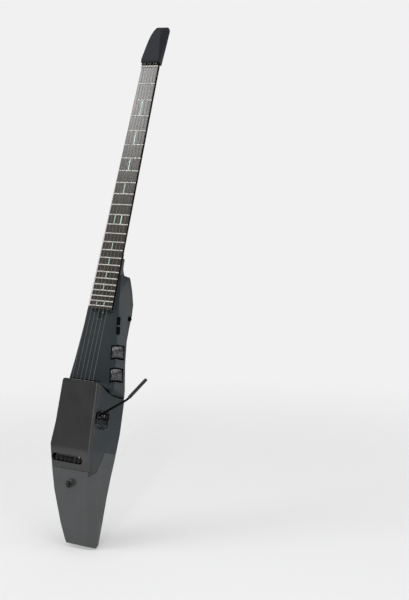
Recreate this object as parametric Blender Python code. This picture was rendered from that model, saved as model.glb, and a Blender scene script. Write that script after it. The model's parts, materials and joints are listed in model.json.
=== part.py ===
"""A headless guitar-shaped MIDI controller, modelled as separate parts.

Metres. +Z runs up the neck, the front faces -Y and +X is the treble side. The origin is the middle of
the nut, on the face of the fingerboard.
"""
import math

import bmesh
import bpy
from mathutils import Matrix, Vector

for old in list(bpy.data.objects):
    bpy.data.objects.remove(old)

# Clearances
SEAT_GAP = 0.0003
TURN_GAP = 0.0007

# Scale, from which all heights down the body are measured
SCALE_LENGTH = 0.6480
COVER_TOP = -SCALE_LENGTH + 0.0150
COVER_FOLD = COVER_TOP - 0.1255
TAIL_END = COVER_FOLD - 0.1775

# Neck
FRET_COUNT = 24
NUT_WIDTH = 0.0415
NUT_HEIGHT = 0.0022
NUT_THICKNESS = 0.0040
LAST_FRET = -SCALE_LENGTH * (1 - 2 ** (-FRET_COUNT / 12))
BOARD_END = LAST_FRET - 0.0060
BOARD_END_WIDTH = 0.0567
BOARD_THICKNESS = 0.0050
BOARD_CROWN = 0.0011
NECK_DEPTH = 0.0130
NECK_SETBACK = 0.0015
HEEL_TOP = COVER_TOP + 0.2440
TENON_WIDTH = 0.0360
TENON_DEPTH = 0.0120
FRET_HEIGHT = 0.0011
FRET_WIDTH = 0.0024
FRET_INSET = 0.0003

# Strings
STRING_COUNT = 6
STRING_RADIUS = 0.0003
STRING_SPREAD_NUT = 0.0335
STRING_SPREAD_BRIDGE = 0.0500
STRING_END = -SCALE_LENGTH - 0.0020
STRING_FRONT_BRIDGE = -0.0088

# Head
LOCK_LENGTH = 0.0046
LOCK_WIDTH = 0.0400
LOCK_BACK = 0.0065
LOCK_FRONT = -0.0016
TONGUE_WIDTH = 0.0230
TONGUE_LENGTH = 0.0530
HEAD_BOTTOM = 0.0078
HEAD_TOP = TONGUE_LENGTH + 0.0314
HEAD_FRONT = -0.0030
HEAD_BACK = 0.0190
HEAD_BEVEL = 0.0022
HEAD_BACK_BEVEL = 0.0040

# Housing
BACK = 0.0760
WING_BACK = 0.0756
FLOOR_FRONT = 0.0085
RIDGE_FRONT = 0.0035
RIM_FRONT = 0.0235
COVER_TOP_FRONT = -0.0180
COVER_SLOPE = 0.0774
COVER_THICKNESS = 0.0060
BLOCK_CORNER = 0.0055
TAIL_SLOPE = 0.3790
TAIL_SEAM = COVER_FOLD - 0.0415
TAIL_SEAM_DIP = 0.0080
TAIL_SEAM_RISE = 0.0030
TAIL_SKIN = 0.0025
TAIL_STEP = COVER_FOLD + 0.0005
TAIL_STEP_FRONT = 0.0215
REAR_COVER_THICKNESS = 0.0030

# Wheels
WHEEL_CENTRES = (COVER_TOP + 0.0630, COVER_TOP + 0.0202)
WHEEL_LENGTH = 0.0256
WHEEL_RADIUS = 0.0120
WHEEL_SINK = 0.0108
WHEEL_RIBS = 40
WHEEL_RIB_HEIGHT = 0.0005
WHEEL_WINDOW_WIDTH = 0.0232
WHEEL_WINDOW_DEPTH = 0.0075
AXLE_RADIUS = 0.0020
AXLE_REACH = 0.0030

# Buttons
BUTTON_CENTRES = (COVER_TOP + 0.1221, COVER_TOP + 0.1036)
BUTTON_LENGTH = 0.0148
BUTTON_WIDTH = 0.0060
BUTTON_CORNER = 0.0012
BUTTON_RISE = 0.0010
BUTTON_EDGE = 0.0006
BUTTON_DEPTH = 0.0080
BUTTON_TRAVEL_ROOM = 0.0025

# Tuners
TUNER_Z = COVER_FOLD - 0.0235
TUNER_CENTRE = -0.0060
TUNER_PITCH = 0.0105
TUNER_RADIUS = 0.0042
TUNER_RIBS = 12
TUNER_RIB_HEIGHT = 0.0005
TUNER_EDGE = 0.0008
TUNER_SINK = 0.0050
TUNER_SHAFT_RADIUS = 0.0015
TUNER_SHAFT_LENGTH = 0.0045
TUNER_POCKET_WIDTH = 0.0730
TUNER_POCKET_WALL = 0.0018
TUNER_POCKET_HEIGHT = 0.0150
TUNER_POCKET_DEPTH = 0.0130
TUNER_RAIL_DEPTH = 0.0100
TUNER_RAIL_HEIGHT = 0.0030
TUNER_RAIL_CORNER = 0.0005

# Tremolo
TREMOLO_Z = COVER_TOP - 0.0670
TREMOLO_ALONG = 0.0212
TREMOLO_POCKET_WIDTH = 0.0265
TREMOLO_POCKET_HEIGHT = 0.0350
TREMOLO_POCKET_DEPTH = 0.0165
TREMOLO_POCKET_CORNER = 0.0090
TREMOLO_RIM_WIDTH = 0.0300
TREMOLO_RIM_HEIGHT = 0.0380
TREMOLO_RIM_DEPTH = 0.0012
TREMOLO_RIM_CORNER = 0.0110
DRUM_CLIMB = 0.0075
DRUM_SINK = 0.0078
DRUM_RADIUS = 0.0065
DRUM_LENGTH = 0.0220
PIN_RADIUS = 0.0020
PIN_REACH = 0.0022
ARM_ACROSS = -0.0085
ROD_RADIUS = 0.0017
SLEEVE_RADIUS = 0.0031
ARM_BEND = Vector((0.1257, -0.0292, COVER_TOP - 0.0258))
ARM_TIP = Vector((0.1630, -0.0350, COVER_TOP + 0.0156))

# Fittings
STRAP_BUTTON_Z = (COVER_FOLD - 0.0669, COVER_TOP + 0.1380)
STRAP_BUTTON_X = (0.0030, 0.0)
STRAP_NECK_RADIUS = 0.0045
STRAP_HEAD_RADIUS = 0.0076
STRAP_BUTTON_HEIGHT = 0.0080
JACK_Z = COVER_TOP + 0.1315
JACK_SHARE = 0.66
JACK_RADIUS = 0.0044
JACK_BORE = 0.0031
JACK_DEPTH = 0.0120
SOCKET_X = 0.0130
SOCKET_Y = 0.0680
SOCKET_RADIUS = 0.0062
SOCKET_BORE = 0.0050
SOCKET_DEPTH = 0.0140

# Colours
GREY = (0.052, 0.063, 0.067)
LIGHT_GREY = (0.100, 0.105, 0.104)
DARK_GREY = (0.040, 0.044, 0.044)
BLACK = (0.006, 0.006, 0.007)
EBONY = (0.022, 0.018, 0.014)
IVORY = (0.75, 0.74, 0.66)
SILVER = (0.62, 0.60, 0.56)

# Reach of a tool past the surface it opens
CLEAR = 0.0100
FAR = 0.1200

# Bend at which a lofted face is split into flat ones
FLAT_ANGLE = math.radians(0.02)


def material(name, colour, roughness, metallic=0.0):
    """A Principled material with the part's colour and finish."""
    made = bpy.data.materials.new(name)
    made.use_nodes = True
    shader = made.node_tree.nodes["Principled BSDF"]
    shader.inputs["Base Color"].default_value = (*colour, 1.0)
    shader.inputs["Roughness"].default_value = roughness
    shader.inputs["Metallic"].default_value = metallic
    return made


TOOL = material("tool", GREY, 0.5)


def mesh_object(name, vertices, faces, look):
    """One named object from vertices and faces, with round sides shaded smooth."""
    mesh = bpy.data.meshes.new(name)
    mesh.from_pydata([tuple(v) for v in vertices], [], faces)
    mesh.materials.append(look)
    made = bpy.data.objects.new(name, mesh)
    bpy.context.scene.collection.objects.link(made)
    shell = bmesh.new()
    shell.from_mesh(mesh)
    bmesh.ops.connect_verts_nonplanar(shell, angle_limit=FLAT_ANGLE, faces=shell.faces)
    bmesh.ops.recalc_face_normals(shell, faces=shell.faces)
    shell.to_mesh(mesh)
    shell.free()
    return made


def round_off(made, degrees=35):
    """Shades an object smooth except at edges sharper than an angle."""
    made.data.shade_smooth()
    made.data.set_sharp_from_angle(angle=math.radians(degrees))
    return made


def loft(name, rings, look):
    """A closed solid through rings that have the same number of points."""
    count = len(rings[0])
    vertices = [point for ring in rings for point in ring]
    faces = [list(range(count)), list(range((len(rings) - 1) * count, len(rings) * count))]
    for level in range(len(rings) - 1):
        for step in range(count):
            here = level * count + step
            beside = level * count + (step + 1) % count
            faces.append([here, beside, beside + count, here + count])
    return mesh_object(name, vertices, faces, look)


def prism(name, outline, frame, depth, look=TOOL):
    """An outline drawn in a frame's first two axes, pushed along its third."""
    rings = [[frame @ Vector((x, y, level)) for x, y in outline] for level in (0.0, depth)]
    return loft(name, rings, look)


def turned(name, frame, steps, sides, look):
    """A turned piece along a frame's third axis, from pairs of level and radius."""
    rings = [[frame @ Vector((x, y, level)) for x, y in circle(radius, sides)] for level, radius in steps]
    return round_off(loft(name, rings, look))


def block(name, low, high, look=TOOL):
    """A plain box between two corners."""
    outline = [(low[0], low[1]), (high[0], low[1]), (high[0], high[1]), (low[0], high[1])]
    return prism(name, outline, Matrix.Translation((0, 0, low[2])), high[2] - low[2], look)


def shifted(frame, x=0.0, y=0.0, z=0.0):
    """A frame moved along its own axes."""
    return frame @ Matrix.Translation((x, y, z))


def axes(place, first, second, third):
    """A frame from its place and three directions."""
    return Matrix.Translation(place) @ Matrix((first, second, third)).transposed().to_4x4()


def aimed(place, out):
    """A frame at a place whose third axis points out."""
    third = Vector(out).normalized()
    hint = Vector((0, 0, 1)) if abs(third.z) < 0.9 else Vector((1, 0, 0))
    first = hint.cross(third).normalized()
    return axes(place, first, third.cross(first), third)


def circle(radius, sides):
    """Points round a circle."""
    angles = [2 * math.pi * step / sides for step in range(sides)]
    return [(radius * math.cos(a), radius * math.sin(a)) for a in angles]


def ribbed(radius, rise, ribs):
    """A circle with fine ribs."""
    points = []
    for step in range(ribs * 2):
        angle = math.pi * step / ribs
        reach = radius if step % 2 == 0 else radius - rise
        points.append((reach * math.cos(angle), reach * math.sin(angle)))
    return points


def stadium(width, height, sides):
    """An oblong with round ends."""
    radius = height / 2
    reach = width / 2 - radius
    points = []
    for side, start in ((1, -math.pi / 2), (-1, math.pi / 2)):
        for step in range(sides + 1):
            angle = start + math.pi * step / sides
            points.append((side * reach + radius * math.cos(angle), radius * math.sin(angle)))
    return points


def rounded(width, height, radius, sides):
    """A rectangle with round corners."""
    points = []
    for quarter, (sx, sy) in enumerate(((1, 1), (-1, 1), (-1, -1), (1, -1))):
        for step in range(sides + 1):
            angle = math.pi / 2 * (quarter + step / sides)
            x = sx * (width / 2 - radius) + radius * math.cos(angle)
            y = sy * (height / 2 - radius) + radius * math.sin(angle)
            points.append((x, y))
    return points


def tube(name, points, radii, sides, look):
    """A round bar along a path, with a radius at each point."""
    rings = []
    for index, point in enumerate(points):
        before = points[max(index - 1, 0)]
        after = points[min(index + 1, len(points) - 1)]
        along = (Vector(after) - Vector(before)).normalized()
        hint = Vector((0, 1, 0)) if abs(along.y) < 0.9 else Vector((1, 0, 0))
        first = along.cross(hint).normalized()
        second = along.cross(first)
        rings.append([Vector(point) + first * x + second * y for x, y in circle(radii[index], sides)])
    return round_off(loft(name, rings, look))


def combine(target, tool, operation):
    """A Boolean with a hidden tool."""
    step = target.modifiers.new(operation.lower(), "BOOLEAN")
    step.operation = operation
    step.solver = "EXACT"
    step.object = tool
    tool.hide_render = True
    tool.display_type = "WIRE"


def between(low, high, share):
    """A value part of the way from one to another."""
    return low + (high - low) * share


def front_of(z):
    """How far back the cover's and the tail's front face is at a height."""
    fold_front = COVER_TOP_FRONT + (COVER_TOP - COVER_FOLD) * COVER_SLOPE
    if z > COVER_FOLD:
        return COVER_TOP_FRONT + (COVER_TOP - z) * COVER_SLOPE
    return fold_front + (COVER_FOLD - z) * TAIL_SLOPE


def section(z, front, treble, back, bass):
    """One ring of the housing at a height: front points, treble edges, back edges and bass edge."""
    right, left, depth = back
    points = front + treble + [(right, depth), (left, depth), bass]
    return [Vector((x, y, z)) for x, y in points]


def wing_rings():
    """The upper housing: a floor under the strings, a raised ridge and the horn's rim, from the foot up."""
    floor, ridge, rim = FLOOR_FRONT, RIDGE_FRONT, RIM_FRONT
    foot = COVER_TOP - 0.018
    step = COVER_TOP - 0.008
    return [
        section(foot, [(-0.0455, floor + 0.001), (0.0400, floor + 0.001), (0.0579, floor + 0.001)],
                [(0.0708, 0.0352), (0.0710, 0.0370)],
                (0.0400, -0.0500, BACK - 0.0030), (-0.0560, 0.0300)),
        section(step, [(-0.0462, floor), (0.0370, floor), (0.0692, ridge)],
                [(0.0790, rim), (0.0772, rim + 0.0028)],
                (0.0396, -0.0490, WING_BACK), (-0.0540, 0.0300)),
        section(COVER_TOP + 0.0430, [(-0.0412, floor), (0.0290, floor), (0.0599, ridge)],
                [(0.0675, rim), (0.0657, rim + 0.0028)],
                (0.0292, -0.0465, WING_BACK), (-0.0520, 0.0290)),
        section(COVER_TOP + 0.0880, [(-0.0380, floor), (0.0262, floor), (0.0522, ridge)],
                [(0.0602, rim), (0.0584, rim + 0.0028)],
                (0.0225, -0.0440, WING_BACK), (-0.0500, 0.0280)),
        section(COVER_TOP + 0.1210, [(-0.0358, floor), (0.0250, floor), (0.0463, ridge)],
                [(0.0540, rim - 0.0015), (0.0558, rim + 0.0055)],
                (0.0242, -0.0410, BACK - 0.0060), (-0.0485, 0.0280)),
        section(COVER_TOP + 0.1380, [(-0.0358, floor), (0.0250, floor), (0.0433, ridge)],
                [(0.0518, rim - 0.0015), (0.0550, rim + 0.0075)],
                (0.0270, -0.0396, BACK - 0.0090), (-0.0474, 0.0280)),
        section(COVER_TOP + 0.1600, [(-0.0350, floor), (0.0250, floor), (0.0393, ridge)],
                [(0.0477, rim - 0.0015), (0.0522, rim + 0.0085)],
                (0.0284, -0.0380, BACK - 0.0120), (-0.0460, 0.0280)),
        section(COVER_TOP + 0.1830, [(-0.0345, floor), (0.0240, floor), (0.0361, ridge)],
                [(0.0420, rim - 0.0015), (0.0461, rim + 0.0065)],
                (0.0242, -0.0360, BACK - 0.0150), (-0.0440, 0.0275)),
        section(COVER_TOP + 0.2050, [(-0.0335, floor), (0.0240, floor), (0.0334, ridge)],
                [(0.0361, rim - 0.0015), (0.0390, rim + 0.0035)],
                (0.0175, -0.0340, BACK - 0.0180), (-0.0420, 0.0270)),
        section(COVER_TOP + 0.2115, [(-0.0320, 0.0110), (0.0240, 0.0110), (0.0318, 0.0070)],
                [(0.0345, rim - 0.0015), (0.0365, rim + 0.0015)],
                (0.0160, -0.0320, BACK - 0.0200), (-0.0400, 0.0260)),
    ]


def block_section(z, left, right, treble, back, bass):
    """One ring of the block or the tail, its front edges on the sloping front face."""
    return section(z, [(left, front_of(z)), (right, front_of(z))], treble, back, bass)


def block_rings():
    """The bridge block and the tail, which leans back below the fold, from the tail's end up."""
    bass_edge = TUNER_CENTRE - TUNER_POCKET_WIDTH / 2 - TUNER_POCKET_WALL
    return [
        block_section(TAIL_END, -0.0120, 0.0376,
                      [(0.0500, 0.0690), (0.0498, 0.0725)],
                      (0.0455, -0.0100, BACK), (-0.0150, 0.0700)),
        block_section(TAIL_END + 0.0070, -0.0155, 0.0380,
                      [(0.0545, 0.0672), (0.0541, 0.0718)],
                      (0.0500, -0.0140, BACK), (-0.0200, 0.0680)),
        block_section(TAIL_END + 0.0360, -0.0249, 0.0389,
                      [(0.0566, 0.0605), (0.0553, 0.0690)],
                      (0.0490, -0.0290, BACK), (-0.0330, 0.0630)),
        block_section(COVER_FOLD - 0.0835, -0.0380, 0.0404,
                      [(0.0552, 0.0400), (0.0624, 0.0565)],
                      (0.0468, -0.0440, BACK), (-0.0520, 0.0540)),
        block_section(TAIL_SEAM, bass_edge + 0.0019, 0.0418,
                      [(0.0543, 0.0240), (0.0700, 0.0460)],
                      (0.0470, -0.0520, BACK), (-0.0620, 0.0460)),
        block_section(COVER_FOLD - 0.0115, bass_edge, 0.0437,
                      [(0.0590, 0.0185), (0.0745, 0.0410)],
                      (0.0480, -0.0560, BACK), (-0.0690, 0.0415)),
        block_section(COVER_FOLD, bass_edge - 0.0003, 0.0458,
                      [(0.0602, 0.0168), (0.0743, 0.0414)],
                      (0.0480, -0.0570, BACK), (-0.0715, 0.0402)),
        block_section(COVER_TOP - 0.0830, -0.0406, 0.0444,
                      [(0.0592, 0.0141), (0.0754, 0.0400)],
                      (0.0468, -0.0560, BACK), (-0.0705, 0.0390)),
        block_section(COVER_TOP, -0.0393, 0.0420,
                      [(0.0582, 0.0100), (0.0710, 0.0345)],
                      (0.0400, -0.0540, BACK), (-0.0680, 0.0340)),
    ]


def rounded_block_rings():
    """The block's rings with its upper bass corner rounded off."""
    rings = block_rings()
    top = rings.pop()
    steps = 3
    for step in range(steps + 1):
        angle = math.pi / 2 * step / steps
        drop = BLOCK_CORNER * (1 - math.sin(angle))
        inset = BLOCK_CORNER * (1 - math.cos(angle))
        ring = ring_at(block_rings(), top[0].z - drop)
        ring[0].x += inset
        rings.append(ring)
    return rings


def ring_at(rings, z):
    """The ring of a form at a height, between the two that it lies between."""
    pair = [(low, high) for low, high in zip(rings, rings[1:]) if low[0].z <= z <= high[0].z]
    low, high = pair[0] if pair else (rings[-2], rings[-1])
    share = (z - low[0].z) / (high[0].z - low[0].z)
    return [a.lerp(b, share) for a, b in zip(low, high)]


def tail_splitter(name, gap):
    """A tool that holds all below the tail's stepped seam, drawn in side view."""
    dip = TAIL_SEAM - TAIL_SEAM_DIP
    outline = [
        (-FAR / 2, TAIL_END - CLEAR),
        (BACK + CLEAR, TAIL_END - CLEAR),
        (BACK + CLEAR, TAIL_STEP + gap),
        (TAIL_STEP_FRONT - gap, TAIL_STEP + gap),
        (TAIL_STEP_FRONT - gap, TAIL_SEAM + TAIL_SEAM_RISE + gap),
        (front_of(dip) + TAIL_SKIN, dip + gap * 3),
        (front_of(TAIL_SEAM) + TAIL_SKIN + gap, TAIL_SEAM + gap),
        (-FAR / 2, TAIL_SEAM + gap),
    ]
    return prism(name, outline, side_view(), FAR * 2)


def side_view():
    """A frame for outlines drawn in side view: first axis back, second up, third to the treble side."""
    return axes((-FAR, 0, 0), Vector((0, 1, 0)), Vector((0, 0, 1)), Vector((1, 0, 0)))


def cover_slab(name, thickness, low, high):
    """A tool that follows the front faces to a depth, between two heights."""
    outline = [
        (-FAR / 2, low),
        (front_of(low) + thickness, low),
        (front_of(COVER_FOLD) + thickness, COVER_FOLD),
        (front_of(high) + thickness, high),
        (-FAR / 2, high),
    ]
    return prism(name, outline, side_view(), FAR * 2)


def facet_frame(z, along):
    """A frame on the block's treble side facet: first axis up its front edge, third out of it."""
    here, above = ring_at(block_rings(), z), ring_at(block_rings(), z + 0.010)
    _, edge, _, side = here[:4]
    _, edge_above = above[:2]
    across = (side - edge).normalized()
    climb = (edge_above - edge).normalized()
    outward = climb.cross(across).normalized()
    if outward.y > 0:
        outward = -outward
    return axes(edge + across * along, climb, outward.cross(climb), outward)


def ridge_frame(z):
    """A frame on the wing's ridge: first axis up the ridge, third out between its two faces."""
    rings = wing_rings()
    _, _, here = ring_at(rings, z)[:3]
    _, _, above = ring_at(rings, z + 0.010)[:3]
    climb = (above - here).normalized()
    lean = math.radians(24)
    outward = Vector((math.sin(lean), -math.cos(lean), 0.0))
    outward = (outward - climb * outward.dot(climb)).normalized()
    return axes(here, climb, outward.cross(climb), outward)


def tail_frame(z, x):
    """A frame on the sloping front below the fold: first axis +X, third out of the face."""
    across = Vector((1, 0, 0))
    outward = Vector((0, -1, -TAIL_SLOPE)).normalized()
    return axes((x, front_of(z), z), across, outward.cross(across), outward)


def jack_frame():
    """A frame on the horn's narrow side facet: third axis out of it."""
    edges = []
    for step in (-0.005, 0.0, 0.005):
        _, _, _, rim, rear = ring_at(wing_rings(), JACK_Z + step)[:5]
        edges.append((rim, rear))
    below, place, above = (rim.lerp(rear, JACK_SHARE) for rim, rear in edges)
    rim, rear = edges[1]
    return aimed(place, (rear - rim).cross(above - below))


def back_frame(z, x):
    """A frame on the sloping back behind the neck: third axis out of the face."""
    low, high = ring_at(wing_rings(), z)[-2], ring_at(wing_rings(), z + 0.001)[-2]
    rise = (high.y - low.y) / (high.z - low.z)
    return aimed((x, low.y, z), (0, 1, -rise))


def string_x(index, spread):
    """The place of a string across the neck."""
    return spread * (index / (STRING_COUNT - 1) - 0.5)


def board_half_width(z):
    """Half the fingerboard's width at a height."""
    return between(NUT_WIDTH, BOARD_END_WIDTH, z / BOARD_END) / 2


def crown(x, half):
    """The board's curved face: how far forward it stands at a place across."""
    return -BOARD_CROWN * (1 - (x / half) ** 2)


def make_fingerboard():
    """The crowned board from the nut to the housing."""
    steps = 8
    rings = []
    for z in (-NUT_THICKNESS / 2 - SEAT_GAP, BOARD_END):
        half = board_half_width(z)
        across = [half * (2 * step / steps - 1) for step in range(steps + 1)]
        face = [Vector((x, BOARD_CROWN + crown(x, half), z)) for x in across]
        rings.append(face + [Vector((half, BOARD_THICKNESS, z)), Vector((-half, BOARD_THICKNESS, z))])
    return round_off(loft("fingerboard", rings, material("board", EBONY, 0.45)))


def make_frets():
    """The frets, each a crowned bar seated on the board."""
    look = material("fret", SILVER, 0.25, 1.0)
    profile = [(-0.5, 0.0), (-0.30, 0.8), (0.30, 0.8), (0.5, 0.0)]
    steps = 8
    for number in range(1, FRET_COUNT + 1):
        z = -SCALE_LENGTH * (1 - 2 ** (-number / 12))
        board = board_half_width(z)
        half = board - FRET_INSET
        rings = []
        for step in range(steps + 1):
            x = half * (2 * step / steps - 1)
            seat = BOARD_CROWN + crown(x, board) - SEAT_GAP
            rise = FRET_HEIGHT - SEAT_GAP
            rings.append([Vector((x, seat - rise * up, z + FRET_WIDTH * side)) for side, up in profile])
        loft(f"fret_{number:02d}", rings, look)


def make_nut():
    """The nut, a plain bar across the board's top end."""
    half = NUT_WIDTH / 2
    low = (-half, -NUT_HEIGHT + STRING_RADIUS, -NUT_THICKNESS / 2)
    high = (half, BOARD_THICKNESS, NUT_THICKNESS / 2)
    return block("nut", low, high, material("nut", IVORY, 0.4))


def neck_ring(z, depth, half, power=1.35, straight=0.0):
    """The rounded back of the neck or the heel at a height, behind the board."""
    front = BOARD_THICKNESS + SEAT_GAP
    steps = 10
    points = [Vector((half, front, z)), Vector((-half, front, z))]
    if straight:
        points.append(Vector((-half, front + straight, z)))
    for step in range(1, steps):
        angle = math.pi * step / steps
        reach = straight + (depth - straight) * math.sin(angle) ** power
        points.append(Vector((-half * math.cos(angle), front + reach, z)))
    if straight:
        points.append(Vector((half, front + straight, z)))
    return points


def make_neck():
    """The slim neck, with a tongue inside the head cap and a tenon inside the heel."""
    rings = []
    for z in (HEEL_TOP + SEAT_GAP, -NUT_THICKNESS / 2):
        rings.append(neck_ring(z, NECK_DEPTH, board_half_width(z) - NECK_SETBACK))
    rings.append(neck_ring(NUT_THICKNESS / 2, NECK_DEPTH, NUT_WIDTH / 2 - NECK_SETBACK))
    neck = loft("neck", rings, material("neck", BLACK, 0.35))
    tongue_half = TONGUE_WIDTH / 2
    tongue_back = BOARD_THICKNESS + NECK_DEPTH - 0.003
    tongue = block("tool_tongue", (-tongue_half, LOCK_BACK + SEAT_GAP * 2, -0.004),
                   (tongue_half, tongue_back, TONGUE_LENGTH))
    tenon_half = TENON_WIDTH / 2
    tenon_front = BOARD_THICKNESS + SEAT_GAP
    tenon = block("tool_tenon", (-tenon_half, tenon_front, BOARD_END),
                  (tenon_half, tenon_front + TENON_DEPTH, HEEL_TOP + CLEAR))
    combine(neck, tongue, "UNION")
    combine(neck, tenon, "UNION")
    return round_off(neck)


def make_string_lock():
    """The bar that clamps the strings above the nut."""
    half = LOCK_WIDTH / 2
    bottom = NUT_THICKNESS / 2 + SEAT_GAP
    return block("string_lock", (-half, LOCK_FRONT, bottom), (half, LOCK_BACK, bottom + LOCK_LENGTH),
                 material("lock", BLACK, 0.3))


def make_head_cap():
    """The lopsided cap over the neck's end, curved on the bass side and faceted on the treble side."""
    bass = [(-0.0010, 0.957), (-0.0060, 0.884), (-0.0110, 0.776), (-0.0152, 0.628), (-0.0185, 0.447),
            (-0.0215, 0.250), (-0.0240, 0.069), (-0.0235, 0.0)]
    front, rim, wall, back = HEAD_FRONT, HEAD_FRONT + HEAD_BEVEL, HEAD_BACK - HEAD_BACK_BEVEL, HEAD_BACK
    levels = (
        (front, HEAD_BEVEL, [(0.0200, front, 0.0), (0.0149, front, 0.48), (0.0120, front, 0.84),
                             (0.0103, front, 0.905)]),
        (rim, 0.0, [(0.0200, front + 0.005, 0.0), (0.0202, 0.0080, 0.48), (0.0210, 0.0080, 0.90),
                    (0.0195, 0.0070, 0.995)]),
        (wall, 0.0, [(0.0165, wall, 0.0), (0.0188, wall, 0.48), (0.0210, wall - 0.001, 0.935),
                     (0.0190, wall - 0.0035, 1.0)]),
        (back, HEAD_BACK_BEVEL, [(0.0135, back, 0.0), (0.0150, back, 0.48), (0.0172, back, 0.88),
                                 (0.0155, back, 0.93)]),
    )
    middle = between(HEAD_BOTTOM, HEAD_TOP, 0.43)
    rings = []
    for level, shrink, treble in levels:
        ring = [Vector((x, y, between(HEAD_BOTTOM, HEAD_TOP, share))) for x, y, share in treble]
        for x, share in bass:
            z = between(HEAD_BOTTOM, HEAD_TOP, share)
            inward = Vector((-x, middle - z)).normalized() * shrink
            rise = inward.y if share else 0.0
            ring.append(Vector((x + inward.x, level, z + rise)))
        rings.append(ring)
    rings[0][len(treble)].z -= HEAD_BEVEL
    cap = loft("head_cap", rings, material("cap", DARK_GREY, 0.5))
    room_half = TONGUE_WIDTH / 2 + SEAT_GAP
    room_back = BOARD_THICKNESS + NECK_DEPTH - 0.003 + SEAT_GAP
    room = block("tool_tongue_room", (-room_half, LOCK_BACK + SEAT_GAP, -CLEAR),
                 (room_half, room_back, TONGUE_LENGTH + SEAT_GAP))
    combine(cap, room, "DIFFERENCE")
    return cap


def make_strings():
    """Six equal strings from the lock, over the nut, into the mouth of the cover."""
    look = material("string", SILVER, 0.25, 1.0)
    lock_front = LOCK_FRONT - SEAT_GAP * 4 - STRING_RADIUS
    for index in range(STRING_COUNT):
        top = string_x(index, STRING_SPREAD_NUT)
        foot = string_x(index, STRING_SPREAD_BRIDGE)
        points = [
            (top, lock_front, HEAD_BOTTOM - SEAT_GAP * 2),
            (top, -NUT_HEIGHT - SEAT_GAP, 0.0),
            (foot, STRING_FRONT_BRIDGE, STRING_END),
        ]
        tube(f"string_{index + 1}", points, [STRING_RADIUS] * 3, 6, look)


def make_corner_tool():
    """A wedge that bevels the block's upper treble corner down to the wing's floor."""
    corner = Vector((0.0420, COVER_TOP_FRONT, COVER_TOP - 0.0020))
    foot = Vector((0.0577, FLOOR_FRONT + 0.0010, COVER_TOP - 0.0186))
    rise = Vector((0.0475, FLOOR_FRONT, COVER_TOP - 0.0015))
    down = (foot - corner).normalized()
    outward = down.cross(rise - corner).normalized()
    if outward.z < 0:
        outward = -outward
    wide = 0.080
    outline = [(-wide, -wide), (wide, -wide), (wide, wide), (-wide, wide)]
    return prism("tool_corner", outline, axes(corner, down, outward.cross(down), outward), wide)


def make_side_tool():
    """A block that clears the block's treble side above the wing's lower edge."""
    return block("tool_side", (0.0577, -0.030, COVER_TOP - 0.0175), (FAR, FAR, COVER_TOP + 0.030))


def wheel_frame(z):
    """The frame of a drum wheel: its third axis lies along the axle."""
    ridge = ridge_frame(z)
    climb, outward = ridge.col[0].xyz, ridge.col[2].xyz
    centre = ridge.col[3].xyz - outward * WHEEL_SINK
    return axes(centre, outward, climb.cross(outward), climb)


def drum_frame():
    """The frame of the tremolo's rocking drum: its third axis lies across the facet."""
    facet = shifted(facet_frame(TREMOLO_Z, TREMOLO_ALONG), x=DRUM_CLIMB, z=-DRUM_SINK)
    climb, across = facet.col[0].xyz, facet.col[1].xyz
    if across.y < 0:
        across = -across
    return axes(facet.col[3].xyz, climb, across.cross(climb), across)


def arm_socket_frame():
    """Where the arm plugs into the drum: third axis straight out of the facet."""
    facet = shifted(facet_frame(TREMOLO_Z, TREMOLO_ALONG), x=DRUM_CLIMB)
    side = 1 if facet.col[1].y > 0 else -1
    return shifted(facet, y=ARM_ACROSS * side)


def back_plate(name, grow, thickness, proud, look=TOOL):
    """The rear cover's outline as a plate, grown and made proud for its recess in the housing."""
    top, waist, bottom = COVER_TOP + 0.081, COVER_TOP - 0.007, COVER_TOP - 0.115
    treble = ((0.014, top), (0.034, waist), (0.038, bottom))
    bass = ((-0.040, bottom), (-0.040, waist), (-0.026, top))
    middle = Vector((0.0, waist - 0.005))
    outline = []
    for x, z in treble + bass:
        away = Vector((x, z)) - middle
        outline.append((x + math.copysign(grow, away.x), z + math.copysign(grow, away.y)))
    frame = axes((0, BACK + proud, 0), Vector((1, 0, 0)), Vector((0, 0, 1)), Vector((0, -1, 0)))
    return prism(name, outline, frame, thickness + proud, look)


def neck_cuts():
    """The slot for the board, the room for the tenon and the recess at the board's end."""
    half = board_half_width(BOARD_END) + SEAT_GAP
    slot_back = BOARD_THICKNESS + SEAT_GAP
    slot_low = (-half, -0.030, BOARD_END - SEAT_GAP * 2)
    slot = block("cut_board", slot_low, (half, slot_back, HEEL_TOP + CLEAR))
    room_half = TENON_WIDTH / 2 + SEAT_GAP
    room = block("cut_tenon", (-room_half, 0.0, BOARD_END - SEAT_GAP),
                 (room_half, slot_back + TENON_DEPTH + SEAT_GAP, HEEL_TOP + CLEAR))
    place = Vector((0.0, FLOOR_FRONT + 0.0050, BOARD_END - 0.0105))
    frame = axes(place, Vector((1, 0, 0)), Vector((0, 0, 1)), Vector((0, -1, 0)))
    recess = prism("cut_truss_recess", rounded(0.0150, 0.0130, 0.0030, 3), frame, CLEAR)
    return [slot, room, recess]


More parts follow.
